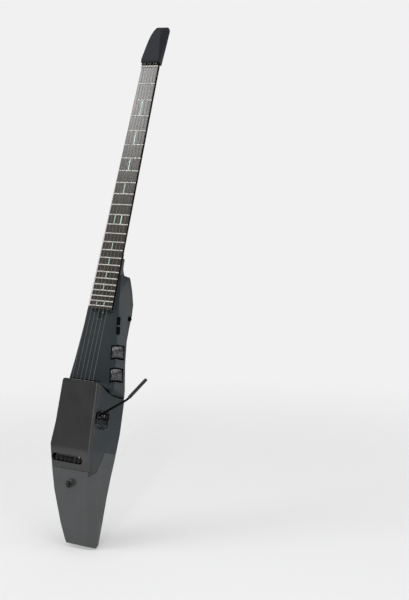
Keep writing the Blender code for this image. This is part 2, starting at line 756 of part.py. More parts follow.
def wheel_cuts():
    """A window, a round room and an axle hole for each drum wheel."""
    cuts = []
    room = WHEEL_LENGTH + TURN_GAP * 2
    reach = WHEEL_LENGTH + AXLE_REACH * 2 + 0.001
    for label, z in zip(("upper", "lower"), WHEEL_CENTRES):
        frame = wheel_frame(z)
        window = shifted(ridge_frame(z), z=-WHEEL_WINDOW_DEPTH)
        outline = rounded(room, WHEEL_WINDOW_WIDTH, 0.0008, 2)
        cuts.append(prism(f"cut_window_{label}", outline, window, WHEEL_WINDOW_DEPTH + CLEAR))
        outline = circle(WHEEL_RADIUS + TURN_GAP, 36)
        cuts.append(prism(f"cut_wheel_{label}", outline, shifted(frame, z=-room / 2), room))
        outline = circle(AXLE_RADIUS + SEAT_GAP, 12)
        cuts.append(prism(f"cut_axle_{label}", outline, shifted(frame, z=-reach / 2), reach))
    return cuts


def button_cuts():
    """A close hole for each push button, with room under it to travel."""
    cuts = []
    grow = SEAT_GAP * 2
    for label, z in zip(("upper", "lower"), BUTTON_CENTRES):
        frame = shifted(ridge_frame(z), z=-BUTTON_DEPTH - BUTTON_TRAVEL_ROOM)
        hole = rounded(BUTTON_LENGTH + grow, BUTTON_WIDTH + grow, BUTTON_CORNER, 2)
        cuts.append(prism(f"cut_button_{label}", hole, frame, BUTTON_DEPTH + BUTTON_TRAVEL_ROOM + CLEAR))
    return cuts


def tremolo_cuts():
    """The tremolo's pocket, its shallow rim and the holes for the drum's pins."""
    facet = facet_frame(TREMOLO_Z, TREMOLO_ALONG)
    pocket = rounded(TREMOLO_POCKET_HEIGHT, TREMOLO_POCKET_WIDTH, TREMOLO_POCKET_CORNER, 5)
    rim = rounded(TREMOLO_RIM_HEIGHT, TREMOLO_RIM_WIDTH, TREMOLO_RIM_CORNER, 5)
    depth, rim_depth = TREMOLO_POCKET_DEPTH, TREMOLO_RIM_DEPTH
    deep = prism("cut_tremolo", pocket, shifted(facet, z=-depth), depth + CLEAR)
    shallow = prism("cut_tremolo_rim", rim, shifted(facet, z=-rim_depth), rim_depth + CLEAR)
    reach = TREMOLO_POCKET_WIDTH + PIN_REACH * 2
    hole = circle(PIN_RADIUS + SEAT_GAP, 12)
    pins = prism("cut_tremolo_pin", hole, shifted(drum_frame(), z=-reach / 2), reach)
    return [deep, shallow, pins]


def tuner_cut():
    """The oblong pocket of the tuning knobs."""
    face = shifted(tail_frame(TUNER_Z, TUNER_CENTRE), z=-TUNER_POCKET_DEPTH)
    outline = stadium(TUNER_POCKET_WIDTH, TUNER_POCKET_HEIGHT, 8)
    return prism("cut_tuner", outline, face, TUNER_POCKET_DEPTH + CLEAR)


def make_heel():
    """The rounded heel that carries the neck and flares into the wing, a form joined to the housing."""
    flare = (
        (BOARD_END, 0.0400, 0.0220),
        (HEEL_TOP - 0.0410, 0.0370, 0.0220),
        (HEEL_TOP - 0.0310, 0.0270, 0.0120),
        (HEEL_TOP - 0.0260, 0.0225, 0.0080),
        (HEEL_TOP - 0.0210, 0.0190, 0.0050),
        (HEEL_TOP - 0.0140, 0.0175, 0.0035),
        (HEEL_TOP - 0.0020, 0.0165, 0.0035),
    )
    rings = []
    for z, depth, straight in flare:
        rings.append(neck_ring(z, depth, board_half_width(z) - SEAT_GAP, 1.0, straight))
    rings.append(neck_ring(HEEL_TOP, 0.0150, board_half_width(HEEL_TOP) - 0.0008, 1.0, 0.0030))
    return loft("tool_heel", rings, TOOL)


def make_housing():
    """The moulded housing, the cover, the tail and the rear cover, all cut from the same forms."""
    housing = loft("body_housing", rounded_block_rings(), material("housing", GREY, 0.42))
    cover = loft("bridge_cover", rounded_block_rings(), material("cover", DARK_GREY, 0.40))
    tail = loft("tail_cap", block_rings(), material("tail", LIGHT_GREY, 0.42))
    wing = loft("tool_wing", wing_rings(), TOOL)
    bass_edge = -board_half_width(BOARD_END) + 0.0035
    bass_side = block("cut_bass_side", (-FAR, -0.030, BOARD_END + 0.005), (bass_edge, FAR, HEEL_TOP))
    combine(wing, bass_side, "DIFFERENCE")
    for tool in (make_corner_tool(), make_side_tool()):
        combine(housing, tool, "DIFFERENCE")
        combine(cover, tool, "DIFFERENCE")
    combine(housing, wing, "UNION")
    combine(housing, make_heel(), "UNION")
    combine(housing, tail_splitter("tool_seam", SEAT_GAP), "DIFFERENCE")
    combine(tail, tail_splitter("tool_tail", 0.0), "INTERSECT")
    slab = cover_slab("tool_cover", COVER_THICKNESS, TAIL_SEAM + SEAT_GAP, COVER_TOP + 0.001)
    room = cover_slab("tool_cover_room", COVER_THICKNESS + SEAT_GAP, TAIL_SEAM, COVER_TOP + CLEAR)
    combine(cover, slab, "INTERSECT")
    combine(housing, room, "DIFFERENCE")
    mouth_back = front_of(COVER_TOP) + COVER_THICKNESS - 0.002
    mouth_half = 0.0385
    mouth_low = (-mouth_half, mouth_back, COVER_TOP - 0.0320)
    mouth = block("cut_mouth", mouth_low, (mouth_half, FLOOR_FRONT - 0.0025, COVER_TOP + 0.005))
    for cut in [mouth, *neck_cuts(), *wheel_cuts(), *button_cuts()]:
        combine(housing, cut, "DIFFERENCE")
    for cut in [*tremolo_cuts(), tuner_cut()]:
        combine(housing, cut, "DIFFERENCE")
        combine(cover, cut, "DIFFERENCE")
    jack = shifted(jack_frame(), z=-JACK_DEPTH - SEAT_GAP)
    jack_hole = prism("cut_jack", circle(JACK_RADIUS + SEAT_GAP, 20), jack, JACK_DEPTH + CLEAR)
    combine(housing, jack_hole, "DIFFERENCE")
    combine(housing, back_plate("cut_back", SEAT_GAP, REAR_COVER_THICKNESS + SEAT_GAP, CLEAR), "DIFFERENCE")
    back_plate("rear_cover", 0.0, REAR_COVER_THICKNESS, 0.0, material("rear", DARK_GREY, 0.5))
    socket = shifted(aimed((SOCKET_X, SOCKET_Y, TAIL_END), (0, 0, -1)), z=-SOCKET_DEPTH - SEAT_GAP)
    hole = prism("cut_socket", circle(SOCKET_RADIUS + SEAT_GAP, 24), socket, SOCKET_DEPTH + CLEAR)
    combine(tail, hole, "DIFFERENCE")


def make_wheels():
    """Two ribbed drum wheels, each on an axle along the wing's ridge."""
    wheel_look = material("wheel", (0.10, 0.10, 0.105), 0.4)
    axle_look = material("axle", SILVER, 0.3, 1.0)
    reach = WHEEL_LENGTH / 2 + AXLE_REACH
    for label, z in zip(("upper", "lower"), WHEEL_CENTRES):
        frame = wheel_frame(z)
        outline = ribbed(WHEEL_RADIUS, WHEEL_RIB_HEIGHT, WHEEL_RIBS)
        end = shifted(frame, z=-WHEEL_LENGTH / 2)
        wheel = prism(f"wheel_{label}", outline, end, WHEEL_LENGTH, wheel_look)
        bore = circle(AXLE_RADIUS + SEAT_GAP, 12)
        bore_start = shifted(end, z=-CLEAR)
        bore_length = WHEEL_LENGTH + CLEAR * 2
        combine(wheel, prism(f"tool_bore_{label}", bore, bore_start, bore_length), "DIFFERENCE")
        turned(f"wheel_axle_{label}", frame, ((-reach, AXLE_RADIUS), (reach, AXLE_RADIUS)), 12, axle_look)


def make_buttons():
    """Two narrow push buttons on the ridge."""
    look = material("button", BLACK, 0.35)
    levels = ((-BUTTON_DEPTH, 0.0), (BUTTON_RISE - BUTTON_EDGE, 0.0), (BUTTON_RISE, BUTTON_EDGE))
    for label, z in zip(("upper", "lower"), BUTTON_CENTRES):
        frame = ridge_frame(z)
        rings = []
        for level, shrink in levels:
            outline = rounded(BUTTON_LENGTH - 2 * shrink, BUTTON_WIDTH - 2 * shrink, BUTTON_CORNER, 2)
            rings.append([frame @ Vector((x, y, level)) for x, y in outline])
        loft(f"button_{label}", rings, look)


def make_tuners():
    """Six ribbed tuning knobs in the oblong pocket, with their shafts in a rail."""
    look = material("tuner", BLACK, 0.3)
    face = tail_frame(TUNER_Z, TUNER_CENTRE)
    rail_high = TUNER_POCKET_HEIGHT / 2 - SEAT_GAP
    rail_low = rail_high - TUNER_RAIL_HEIGHT
    rail_half = TUNER_PITCH * STRING_COUNT / 2 - 0.005
    outline = rounded(rail_half * 2, TUNER_RAIL_HEIGHT, TUNER_RAIL_CORNER, 2)
    rail_frame = shifted(face, y=(rail_low + rail_high) / 2, z=-TUNER_POCKET_DEPTH + SEAT_GAP)
    rail = prism("tuner_rail", outline, rail_frame, TUNER_RAIL_DEPTH, material("rail", DARK_GREY, 0.4))
    bottom = -TUNER_POCKET_HEIGHT / 2 + TURN_GAP
    steps = (
        (bottom, TUNER_RADIUS - TUNER_EDGE),
        (bottom + TUNER_EDGE, TUNER_RADIUS),
        (rail_low - TURN_GAP, TUNER_RADIUS),
    )
    for index in range(STRING_COUNT):
        x = string_x(index, TUNER_PITCH * (STRING_COUNT - 1))
        axis = shifted(face, x=x, z=-TUNER_SINK) @ Matrix.Rotation(-math.pi / 2, 4, "X")
        rings = []
        for level, radius in steps:
            outline = ribbed(radius, TUNER_RIB_HEIGHT, TUNER_RIBS)
            rings.append([axis @ Vector((px, py, level)) for px, py in outline])
        knob = loft(f"tuner_knob_{index + 1}", rings, look)
        start = shifted(axis, z=rail_low - TUNER_SHAFT_LENGTH / 2)
        shaft = circle(TUNER_SHAFT_RADIUS, 12)
        hole = circle(TUNER_SHAFT_RADIUS + SEAT_GAP, 12)
        combine(knob, prism(f"tool_shaft_{index + 1}", shaft, start, TUNER_SHAFT_LENGTH), "UNION")
        room = TUNER_SHAFT_LENGTH + SEAT_GAP
        combine(rail, prism(f"tool_shaft_hole_{index + 1}", hole, start, room), "DIFFERENCE")


def make_bridge():
    """The sensor bar behind the strings' lower ends and the block that holds them."""
    look = material("bridge", DARK_GREY, 0.4)
    seat = FLOOR_FRONT - 0.0025 - SEAT_GAP
    half = 0.0300
    sensor_top = COVER_TOP + 0.0035
    sensor_look = material("sensor", BLACK, 0.4)
    block("string_sensor", (-half, -0.0055, COVER_TOP - 0.0070), (half, seat, sensor_top), sensor_look)
    block("bridge_block", (-half, -0.0092, STRING_END - 0.0120), (half, seat, STRING_END - SEAT_GAP), look)


def make_tremolo():
    """The rocking drum and the bent arm that plugs into it."""
    look = material("tremolo", BLACK, 0.35)
    frame = drum_frame()
    drum_half = DRUM_LENGTH / 2
    drum = turned("tremolo_drum", frame, ((-drum_half, DRUM_RADIUS), (drum_half, DRUM_RADIUS)), 24, look)
    reach = TREMOLO_POCKET_WIDTH + PIN_REACH * 2 - 0.001
    combine(drum, prism("tool_pin", circle(PIN_RADIUS, 12), shifted(frame, z=-reach / 2), reach), "UNION")
    socket = arm_socket_frame()
    depth = DRUM_SINK + 0.0035
    hole = circle(ROD_RADIUS + SEAT_GAP, 12)
    combine(drum, prism("tool_arm_hole", hole, shifted(socket, z=-depth), depth + CLEAR), "DIFFERENCE")
    root = socket @ Vector((0, 0, SEAT_GAP - depth))
    out = socket @ Vector((0, 0, 0.0010))
    turn_in = socket @ Vector((0.0012, 0, 0.0045))
    rod_end = ARM_BEND.lerp(turn_in, 0.08)
    start = ARM_BEND.lerp(ARM_TIP, 0.06)
    sleeve = [start.lerp(ARM_TIP, 0.02), ARM_TIP.lerp(start, 0.02), ARM_TIP]
    points = [root, out, turn_in, rod_end, start, *sleeve]
    radii = [ROD_RADIUS] * 5 + [SLEEVE_RADIUS, SLEEVE_RADIUS, SLEEVE_RADIUS * 0.6]
    tube("tremolo_arm", points, radii, 12, material("arm", BLACK, 0.3))


def make_fittings():
    """Strap buttons, the breath jack and the cable socket."""
    look = material("strap_button", SILVER, 0.35, 1.0)
    neck, head, height = STRAP_NECK_RADIUS, STRAP_HEAD_RADIUS, STRAP_BUTTON_HEIGHT
    steps = (
        (SEAT_GAP, neck * 1.3),
        (height * 0.2, neck),
        (height * 0.5, neck),
        (height * 0.7, head),
        (height * 0.9, head),
        (height, head * 0.85),
    )
    tail_z, horn_z = STRAP_BUTTON_Z
    tail_x, horn_x = STRAP_BUTTON_X
    turned("strap_button_tail", tail_frame(tail_z, tail_x), steps, 24, look)
    turned("strap_button_horn", back_frame(horn_z, horn_x), steps, 24, look)
    jack = jack_frame()
    jack_steps = ((-JACK_DEPTH, JACK_RADIUS), (SEAT_GAP, JACK_RADIUS))
    collar = turned("breath_jack", jack, jack_steps, 20, material("jack", BLACK, 0.35))
    jack_floor = shifted(jack, z=0.002 - JACK_DEPTH)
    bore = prism("tool_jack_bore", circle(JACK_BORE, 16), jack_floor, JACK_DEPTH + CLEAR)
    combine(collar, bore, "DIFFERENCE")
    socket = aimed((SOCKET_X, SOCKET_Y, TAIL_END), (0, 0, -1))
    socket_steps = ((-SOCKET_DEPTH, SOCKET_RADIUS), (-SEAT_GAP, SOCKET_RADIUS))
    ring = turned("cable_socket", socket, socket_steps, 24, material("socket", BLACK, 0.35))
    depth = SOCKET_DEPTH - 0.0025
    bore = prism("tool_socket_bore", circle(SOCKET_BORE, 20), shifted(socket, z=-depth), depth + CLEAR)
    combine(ring, bore, "DIFFERENCE")


make_neck()
make_fingerboard()
make_frets()
make_nut()
make_string_lock()
make_head_cap()
make_strings()
make_housing()
make_wheels()
make_buttons()
make_tuners()
make_bridge()
make_tremolo()
make_fittings()
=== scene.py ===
import json
import math

import bmesh
import bpy
from mathutils import Matrix, Vector
from mathutils.bvhtree import BVHTree


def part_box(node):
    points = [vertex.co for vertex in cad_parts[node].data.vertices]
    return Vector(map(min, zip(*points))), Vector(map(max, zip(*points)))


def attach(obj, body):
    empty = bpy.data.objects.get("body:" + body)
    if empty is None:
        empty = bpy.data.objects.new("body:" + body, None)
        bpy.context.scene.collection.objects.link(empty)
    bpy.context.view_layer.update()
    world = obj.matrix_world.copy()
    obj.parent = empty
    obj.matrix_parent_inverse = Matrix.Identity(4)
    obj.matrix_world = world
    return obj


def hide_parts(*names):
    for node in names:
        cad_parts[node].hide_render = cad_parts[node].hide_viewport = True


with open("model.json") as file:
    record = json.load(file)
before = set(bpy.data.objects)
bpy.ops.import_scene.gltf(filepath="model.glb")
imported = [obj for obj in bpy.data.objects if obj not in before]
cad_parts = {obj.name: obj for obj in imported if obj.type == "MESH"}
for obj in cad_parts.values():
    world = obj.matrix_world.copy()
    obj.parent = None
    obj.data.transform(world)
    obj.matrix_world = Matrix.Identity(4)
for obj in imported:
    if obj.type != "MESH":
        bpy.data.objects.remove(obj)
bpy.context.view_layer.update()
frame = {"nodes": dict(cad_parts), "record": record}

nodes = frame["nodes"]
joints = {joint["name"]: joint for joint in frame["record"]["behaviour"]["joints"]}


# The camera stands to the right of the instrument, level with its lower body, and looks at it through a long
# lens, so the neck leans back and to the right across a tall picture.
CAMERA_PLACE = Vector((1.4948, -1.9355, -0.8220))
CAMERA_RIGHT = Vector((0.8382, 0.5122, 0.1872))
CAMERA_UP = Vector((-0.0749, -0.2319, 0.9699))
LENS_MM = 77.27
SENSOR_MM = 36.0

camera_data = bpy.data.cameras.new("studio_camera")
camera_data.lens = LENS_MM
camera_data.sensor_width = SENSOR_MM
camera_data.sensor_fit = "AUTO"
camera_data.clip_end = 50.0
camera = bpy.data.objects.new("studio_camera", camera_data)
bpy.context.scene.collection.objects.link(camera)
camera_back = CAMERA_RIGHT.cross(CAMERA_UP).normalized()
camera_up = camera_back.cross(CAMERA_RIGHT).normalized()
turn = Matrix((CAMERA_RIGHT.normalized(), camera_up, camera_back)).transposed()
camera.matrix_world = Matrix.Translation(CAMERA_PLACE) @ turn.to_4x4()
bpy.context.scene.camera = camera


# The studio: plain pale paper under the tail, seen from above only and fading into a pale surround. The
# surround is bright below the horizon and where the paper rises behind the instrument. On the other sides it
# is a dark room to the light and the gloss, and plain pale paper to the eye.
FLOOR_UP = Vector((-0.030, -0.354, 0.935)).normalized()
FLOOR_POINT = Vector((0.040, 0.076, -0.9365))
FLOOR_SIZE = 6.0
FLOOR_FADE = (0.6, 1.7)
FLOOR_COLOR = (0.45, 0.45, 0.453, 1.0)
FLOOR_ROUGHNESS = 0.9
FLOOR_GLOW = 0.375
BACKDROP_COLOR = (0.885, 0.878, 0.884, 1.0)
BACKDROP_WAY = Vector((-0.60, 0.80, 0.0))
BACKDROP_EDGE = (0.35, 0.75)
HORIZON_EDGE = (0.06, -0.02)
ROOM_COLOR = (0.030, 0.032, 0.034, 1.0)

floor_mesh = bpy.data.meshes.new("studio_floor")
far = FLOOR_SIZE / 2
floor_mesh.from_pydata([(-far, -far, 0), (far, -far, 0), (far, far, 0), (-far, far, 0)], [], [(0, 1, 2, 3)])
studio_floor = bpy.data.objects.new("studio_floor", floor_mesh)
bpy.context.scene.collection.objects.link(studio_floor)
floor_turn = FLOOR_UP.to_track_quat("Z", "Y").to_matrix().to_4x4()
studio_floor.matrix_world = Matrix.Translation(FLOOR_POINT) @ floor_turn
floor_paper = bpy.data.materials.new("floor_paper")
floor_paper.use_nodes = True
paper_nodes = floor_paper.node_tree.nodes
paper_links = floor_paper.node_tree.links
paper = paper_nodes["Principled BSDF"]
paper.inputs["Base Color"].default_value = FLOOR_COLOR
paper.inputs["Roughness"].default_value = FLOOR_ROUGHNESS
paper.inputs["Emission Color"].default_value = (1.0, 1.0, 1.0, 1.0)
paper.inputs["Emission Strength"].default_value = FLOOR_GLOW
clear = paper_nodes.new("ShaderNodeBsdfTransparent")
sides = paper_nodes.new("ShaderNodeNewGeometry")
spot = paper_nodes.new("ShaderNodeTexCoord")
reach = paper_nodes.new("ShaderNodeVectorMath")
reach.operation = "LENGTH"
fade_out = paper_nodes.new("ShaderNodeMapRange")
fade_out.interpolation_type = "SMOOTHSTEP"
fade_out.inputs["From Min"].default_value = FLOOR_FADE[0]
fade_out.inputs["From Max"].default_value = FLOOR_FADE[1]
hidden = paper_nodes.new("ShaderNodeMath")
hidden.operation = "MAXIMUM"
pick = paper_nodes.new("ShaderNodeMixShader")
paper_links.new(spot.outputs["Object"], reach.inputs[0])
paper_links.new(reach.outputs["Value"], fade_out.inputs["Value"])
paper_links.new(fade_out.outputs["Result"], hidden.inputs[0])
paper_links.new(sides.outputs["Backfacing"], hidden.inputs[1])
paper_links.new(hidden.outputs[0], pick.inputs[0])
paper_links.new(paper.outputs[0], pick.inputs[1])
paper_links.new(clear.outputs[0], pick.inputs[2])
paper_links.new(pick.outputs[0], paper_nodes["Material Output"].inputs[0])
floor_mesh.materials.append(floor_paper)

surround = bpy.data.worlds.new("studio_surround")
surround.use_nodes = True
sky = surround.node_tree
direction = sky.nodes.new("ShaderNodeTexCoord")
height = sky.nodes.new("ShaderNodeVectorMath")
height.operation = "DOT_PRODUCT"
height.inputs[1].default_value = FLOOR_UP
sky.links.new(direction.outputs["Generated"], height.inputs[0])
below = sky.nodes.new("ShaderNodeMapRange")
below.inputs["From Min"].default_value = HORIZON_EDGE[0]
below.inputs["From Max"].default_value = HORIZON_EDGE[1]
sky.links.new(height.outputs["Value"], below.inputs["Value"])
facing = sky.nodes.new("ShaderNodeVectorMath")
facing.operation = "DOT_PRODUCT"
facing.inputs[1].default_value = BACKDROP_WAY
sky.links.new(direction.outputs["Generated"], facing.inputs[0])
behind = sky.nodes.new("ShaderNodeMapRange")
behind.inputs["From Min"].default_value = BACKDROP_EDGE[0]
behind.inputs["From Max"].default_value = BACKDROP_EDGE[1]
sky.links.new(facing.outputs["Value"], behind.inputs["Value"])
pale = sky.nodes.new("ShaderNodeMath")
pale.operation = "MAXIMUM"
sky.links.new(below.outputs["Result"], pale.inputs[0])
sky.links.new(behind.outputs["Result"], pale.inputs[1])
ray = sky.nodes.new("ShaderNodeLightPath")
seen = sky.nodes.new("ShaderNodeMath")
seen.operation = "MAXIMUM"
sky.links.new(pale.outputs[0], seen.inputs[0])
sky.links.new(ray.outputs["Is Camera Ray"], seen.inputs[1])
shade = sky.nodes.new("ShaderNodeMix")
shade.data_type = "RGBA"
shade.inputs["A"].default_value = ROOM_COLOR
shade.inputs["B"].default_value = BACKDROP_COLOR
sky.links.new(seen.outputs[0], shade.inputs["Factor"])
sky.links.new(shade.outputs["Result"], sky.nodes["Background"].inputs["Color"])
bpy.context.scene.world = surround


def soft_panel(name, place, target, width, tall, watts):
    """A rectangular soft light at place, turned to target, its face width by tall."""
    data = bpy.data.lights.new(name, "AREA")
    data.shape = "RECTANGLE"
    data.size = width
    data.size_y = tall
    data.energy = watts
    panel = bpy.data.objects.new(name, data)
    bpy.context.scene.collection.objects.link(panel)
    panel.location = place
    panel.rotation_euler = (Vector(place) - Vector(target)).to_track_quat("Z", "Y").to_euler()


soft_panel("key_panel", (-1.60, -1.95, 0.82), (0.0, 0.0, -0.2), width=1.3, tall=0.6, watts=25.5)
soft_panel("top_panel", (0.3, -1.6, 3.4), (0.0, 0.0, -0.6), width=3.4, tall=3.0, watts=140.0)
soft_panel("side_panel", (2.1, -1.2, -0.15), (0.0, 0.0, -0.6), width=1.0, tall=1.5, watts=9.0)
soft_panel("rear_panel", (2.5, 0.6, 0.7), (0.0, 0.0, -0.5), width=0.9, tall=0.9, watts=5.0)
soft_panel("edge_strip", (1.05, -2.15, -0.45), (0.0, 0.0, -0.6), width=0.10, tall=1.6, watts=14.0)
bpy.context.scene.view_settings.view_transform = "Standard"


# The neck is one slim moulding of black composite with a satin skin, rounded behind and bolted into the
# heel. Its upper end runs into the head cap.
CLOUD_SCALE = 28.0
GLOSS_SPREAD = 0.05
WELD_REACH = 0.000005
FLAT_ENOUGH = math.radians(0.8)
LONG_EDGE = 0.010
ROUNDING_SHARE = 0.45
STRAIGHT_ON = math.radians(140)
PROUD_LIMIT = 0.00004


def moulded_finish(name, color, roughness, grain_mm=0.35, grain_depth=0.00002, mottle=0.08, metallic=0.0,
                   stretch=(1.0, 1.0, 1.0), shine=0.5):
    """A moulded, painted or machined surface: faint clouds of colour, a fine grain in gloss and relief."""
    finish = bpy.data.materials.new(name)
    finish.use_nodes = True
    tree = finish.node_tree
    shader = tree.nodes["Principled BSDF"]
    shader.inputs["Metallic"].default_value = metallic
    shader.inputs["Specular IOR Level"].default_value = shine
    place = tree.nodes.new("ShaderNodeTexCoord")
    scaled = tree.nodes.new("ShaderNodeVectorMath")
    scaled.operation = "MULTIPLY"
    scaled.inputs[1].default_value = stretch
    tree.links.new(place.outputs["Object"], scaled.inputs[0])
    cloud = tree.nodes.new("ShaderNodeTexNoise")
    cloud.inputs["Scale"].default_value = CLOUD_SCALE
    cloud.inputs["Detail"].default_value = 4.0
    tree.links.new(scaled.outputs["Vector"], cloud.inputs["Vector"])
    tint = tree.nodes.new("ShaderNodeValToRGB")
    low = [c * (1.0 - mottle) for c in color]
    high = [min(1.0, c * (1.0 + mottle)) for c in color]
    tint.color_ramp.elements[0].position = 0.35
    tint.color_ramp.elements[0].color = (*low, 1.0)
    tint.color_ramp.elements[1].position = 0.65
    tint.color_ramp.elements[1].color = (*high, 1.0)
    tree.links.new(cloud.outputs["Fac"], tint.inputs["Fac"])
    tree.links.new(tint.outputs["Color"], shader.inputs["Base Color"])
    grain = tree.nodes.new("ShaderNodeTexNoise")
    grain.inputs["Scale"].default_value = 1000.0 / grain_mm
    grain.inputs["Detail"].default_value = 2.0
    tree.links.new(scaled.outputs["Vector"], grain.inputs["Vector"])
    gloss = tree.nodes.new("ShaderNodeMapRange")
    gloss.inputs["To Min"].default_value = roughness - GLOSS_SPREAD
    gloss.inputs["To Max"].default_value = roughness + GLOSS_SPREAD
    tree.links.new(grain.outputs["Fac"], gloss.inputs["Value"])
    tree.links.new(gloss.outputs["Result"], shader.inputs["Roughness"])
    relief = tree.nodes.new("ShaderNodeBump")
    relief.inputs["Strength"].default_value = 0.5
    relief.inputs["Distance"].default_value = grain_depth
    tree.links.new(grain.outputs["Fac"], relief.inputs["Height"])
    tree.links.new(relief.outputs["Normal"], shader.inputs["Normal"])
    return finish


def place_piece(name, shape, finish, body, smooth_deg=38.0):
    """Makes a piece from a bmesh, shades its rounds smooth and lets it ride on a body."""
    mesh = bpy.data.meshes.new(name)
    bmesh.ops.recalc_face_normals(shape, faces=shape.faces)
    shape.to_mesh(mesh)
    shape.free()
    mesh.materials.append(finish)
    mesh.shade_smooth()
    mesh.set_sharp_from_angle(angle=math.radians(smooth_deg))
    piece = bpy.data.objects.new(name, mesh)
    bpy.context.scene.collection.objects.link(piece)
    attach(piece, body)
    return piece


def rounding_room(edge, edges, wanted):
    """How wide an edge can be rounded before it meets what ends at its two points."""
    width = wanted
    for point in edge.verts:
        along = edge.other_vert(point).co - point.co
        for near in point.link_edges:
            turned = along.angle(near.other_vert(point).co - point.co, math.pi)
            if near != edge and (near not in edges or turned < STRAIGHT_ON):
                width = min(width, near.calc_length() * ROUNDING_SHARE)
    return width


def moulded_shell(node, finish, body, wide, narrow, sharp_deg=20.0, eased=()):
    """A solid's own form as a moulding: long edges rounded to wide and short ones to narrow, as room allows.
    Corners named in eased, as pairs of place and new place, are eased over first."""
    shape = bmesh.new()
    shape.from_mesh(nodes[node].data)
    bmesh.ops.remove_doubles(shape, verts=shape.verts, dist=WELD_REACH)
    bmesh.ops.dissolve_limit(shape, angle_limit=FLAT_ENOUGH, verts=shape.verts, edges=shape.edges)
    for place, new_place in eased:
        corner = min(shape.verts, key=lambda point: (point.co - Vector(place)).length)
        corner.co = Vector(new_place)
        around = [face for face in corner.link_faces if 4 <= len(face.verts) <= 8]
        bmesh.ops.connect_verts_nonplanar(shape, angle_limit=math.radians(2), faces=around)
    form = BVHTree.FromBMesh(shape)
    weight = shape.edges.layers.float.new("bevel_weight_edge")
    sharp = math.radians(sharp_deg)
    edges = {edge for edge in shape.edges if edge.is_manifold and edge.calc_face_angle() > sharp}
    for edge in edges:
        wanted = wide if edge.calc_length() > LONG_EDGE else narrow
        edge[weight] = rounding_room(edge, edges, wanted) / wide
    draft = bpy.data.meshes.new(f"{node}_draft")
    shape.to_mesh(draft)
    carrier = bpy.data.objects.new(f"{node}_draft", draft)
    bpy.context.scene.collection.objects.link(carrier)
    rounding = carrier.modifiers.new("rounding", "BEVEL")
    rounding.limit_method = "WEIGHT"
    rounding.width = wide
    rounding.segments = 3
    rounding.use_clamp_overlap = False
    rounded_mesh = bpy.data.meshes.new_from_object(
        carrier.evaluated_get(bpy.context.evaluated_depsgraph_get()))
    bpy.data.objects.remove(carrier)
    shape.clear()
    shape.from_mesh(rounded_mesh)
    bpy.data.meshes.remove(rounded_mesh)
    for point in shape.verts:
        place, normal, _, distance = form.find_nearest(point.co)
        if distance > wide or (point.co - place).dot(normal) > PROUD_LIMIT:
            point.co = place
    piece = place_piece(f"{node}_shell", shape, finish, body)
    even = piece.modifiers.new("even_shading", "WEIGHTED_NORMAL")
    even.keep_sharp = True
    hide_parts(node)
    return piece


neck_black = moulded_finish("neck_black", (0.002, 0.002, 0.0025), roughness=0.45, shine=0.04)
moulded_shell("neck", neck_black, "housing", wide=0.0005, narrow=0.0003)


# The fingerboard is a crowned slat of dark close-grained wood, oiled to a low gloss, glued to the neck and
# lacquered black along its sides. A strip along its treble edge is painted black as painted shade, where the
# rolled edge turns away from the light. Thin bars of pale green pearl are let into it, running from fret to
# fret: one in most marked spaces, two at the octaves.
SCALE_LENGTH = 0.6480
NUT_WIDTH = 0.0415
BOARD_END = -0.4920
BOARD_END_WIDTH = 0.0567
BOARD_CROWN = 0.0011
BOARD_SKIN = 0.0004
TREBLE_SHADE_STRIP = 0.0013
BOARD_PAINT_DEPTH = 0.0014
INLAY_WIDTH = 0.0023
INLAY_GAP = 0.0009
INLAY_DRIFT = -0.0015
INLAY_PROUD = 0.00005
INLAY_FOOT = 0.0009
INLAY_STEPS = 4
INLAY_PLACES = {3: (0.0,), 5: (0.0,), 7: (0.0,), 9: (0.0,), 12: (-0.0078, 0.0078), 15: (0.0,), 17: (0.0,),
                19: (0.0,), 21: (0.0,), 24: (-0.0090, 0.0090)}


def fret_height(number):
    """Where a fret crosses the board, down from the nut; number 0 is the nut."""
    return -SCALE_LENGTH * (1 - 2 ** (-number / 12))


def board_half(z):
    """Half the board's width at a height."""
    return (NUT_WIDTH + (BOARD_END_WIDTH - NUT_WIDTH) * z / BOARD_END) / 2


def board_face(x, z):
    """The crowned face of the board at a place."""
    return BOARD_CROWN * (x / board_half(z)) ** 2


def skin_over(shape, rings, closed=True):
    """Joins rings that have as many points each into a skin, and closes its two ends."""
    for one, two in zip(rings, rings[1:]):
        for point in range(len(one)):
            near = (point + 1) % len(one)
            shape.faces.new((one[point], one[near], two[near], two[point]))
    if closed:
        shape.faces.new(rings[0])
        shape.faces.new(rings[-1])


def paint_rooms(piece, finish, rooms):
    """Gives another finish to faces whose corners all lie in one room. A room tells if a point is in it."""
    piece.data.materials.append(finish)
    for face in piece.data.polygons:
        corners = [piece.data.vertices[index].co for index in face.vertices]
        if any(all(room(corner) for corner in corners) for room in rooms):
            face.material_index = 1


board_wood = moulded_finish("board_wood", (0.040, 0.035, 0.028), roughness=0.24, grain_mm=4.0,
                            grain_depth=0.0000005, mottle=0.30, stretch=(1.0, 1.0, 0.06))
board = moulded_shell("fingerboard", board_wood, "housing", wide=0.0012, narrow=0.0003)
# The sides take the neck's black lacquer; the strip along the treble edge is painted shade in the same black.
paint_rooms(board, neck_black, [
    lambda point: abs(point.x) > board_half(point.z) - BOARD_SKIN and point.y > BOARD_PAINT_DEPTH,
    lambda point: point.x > board_half(point.z) - TREBLE_SHADE_STRIP])

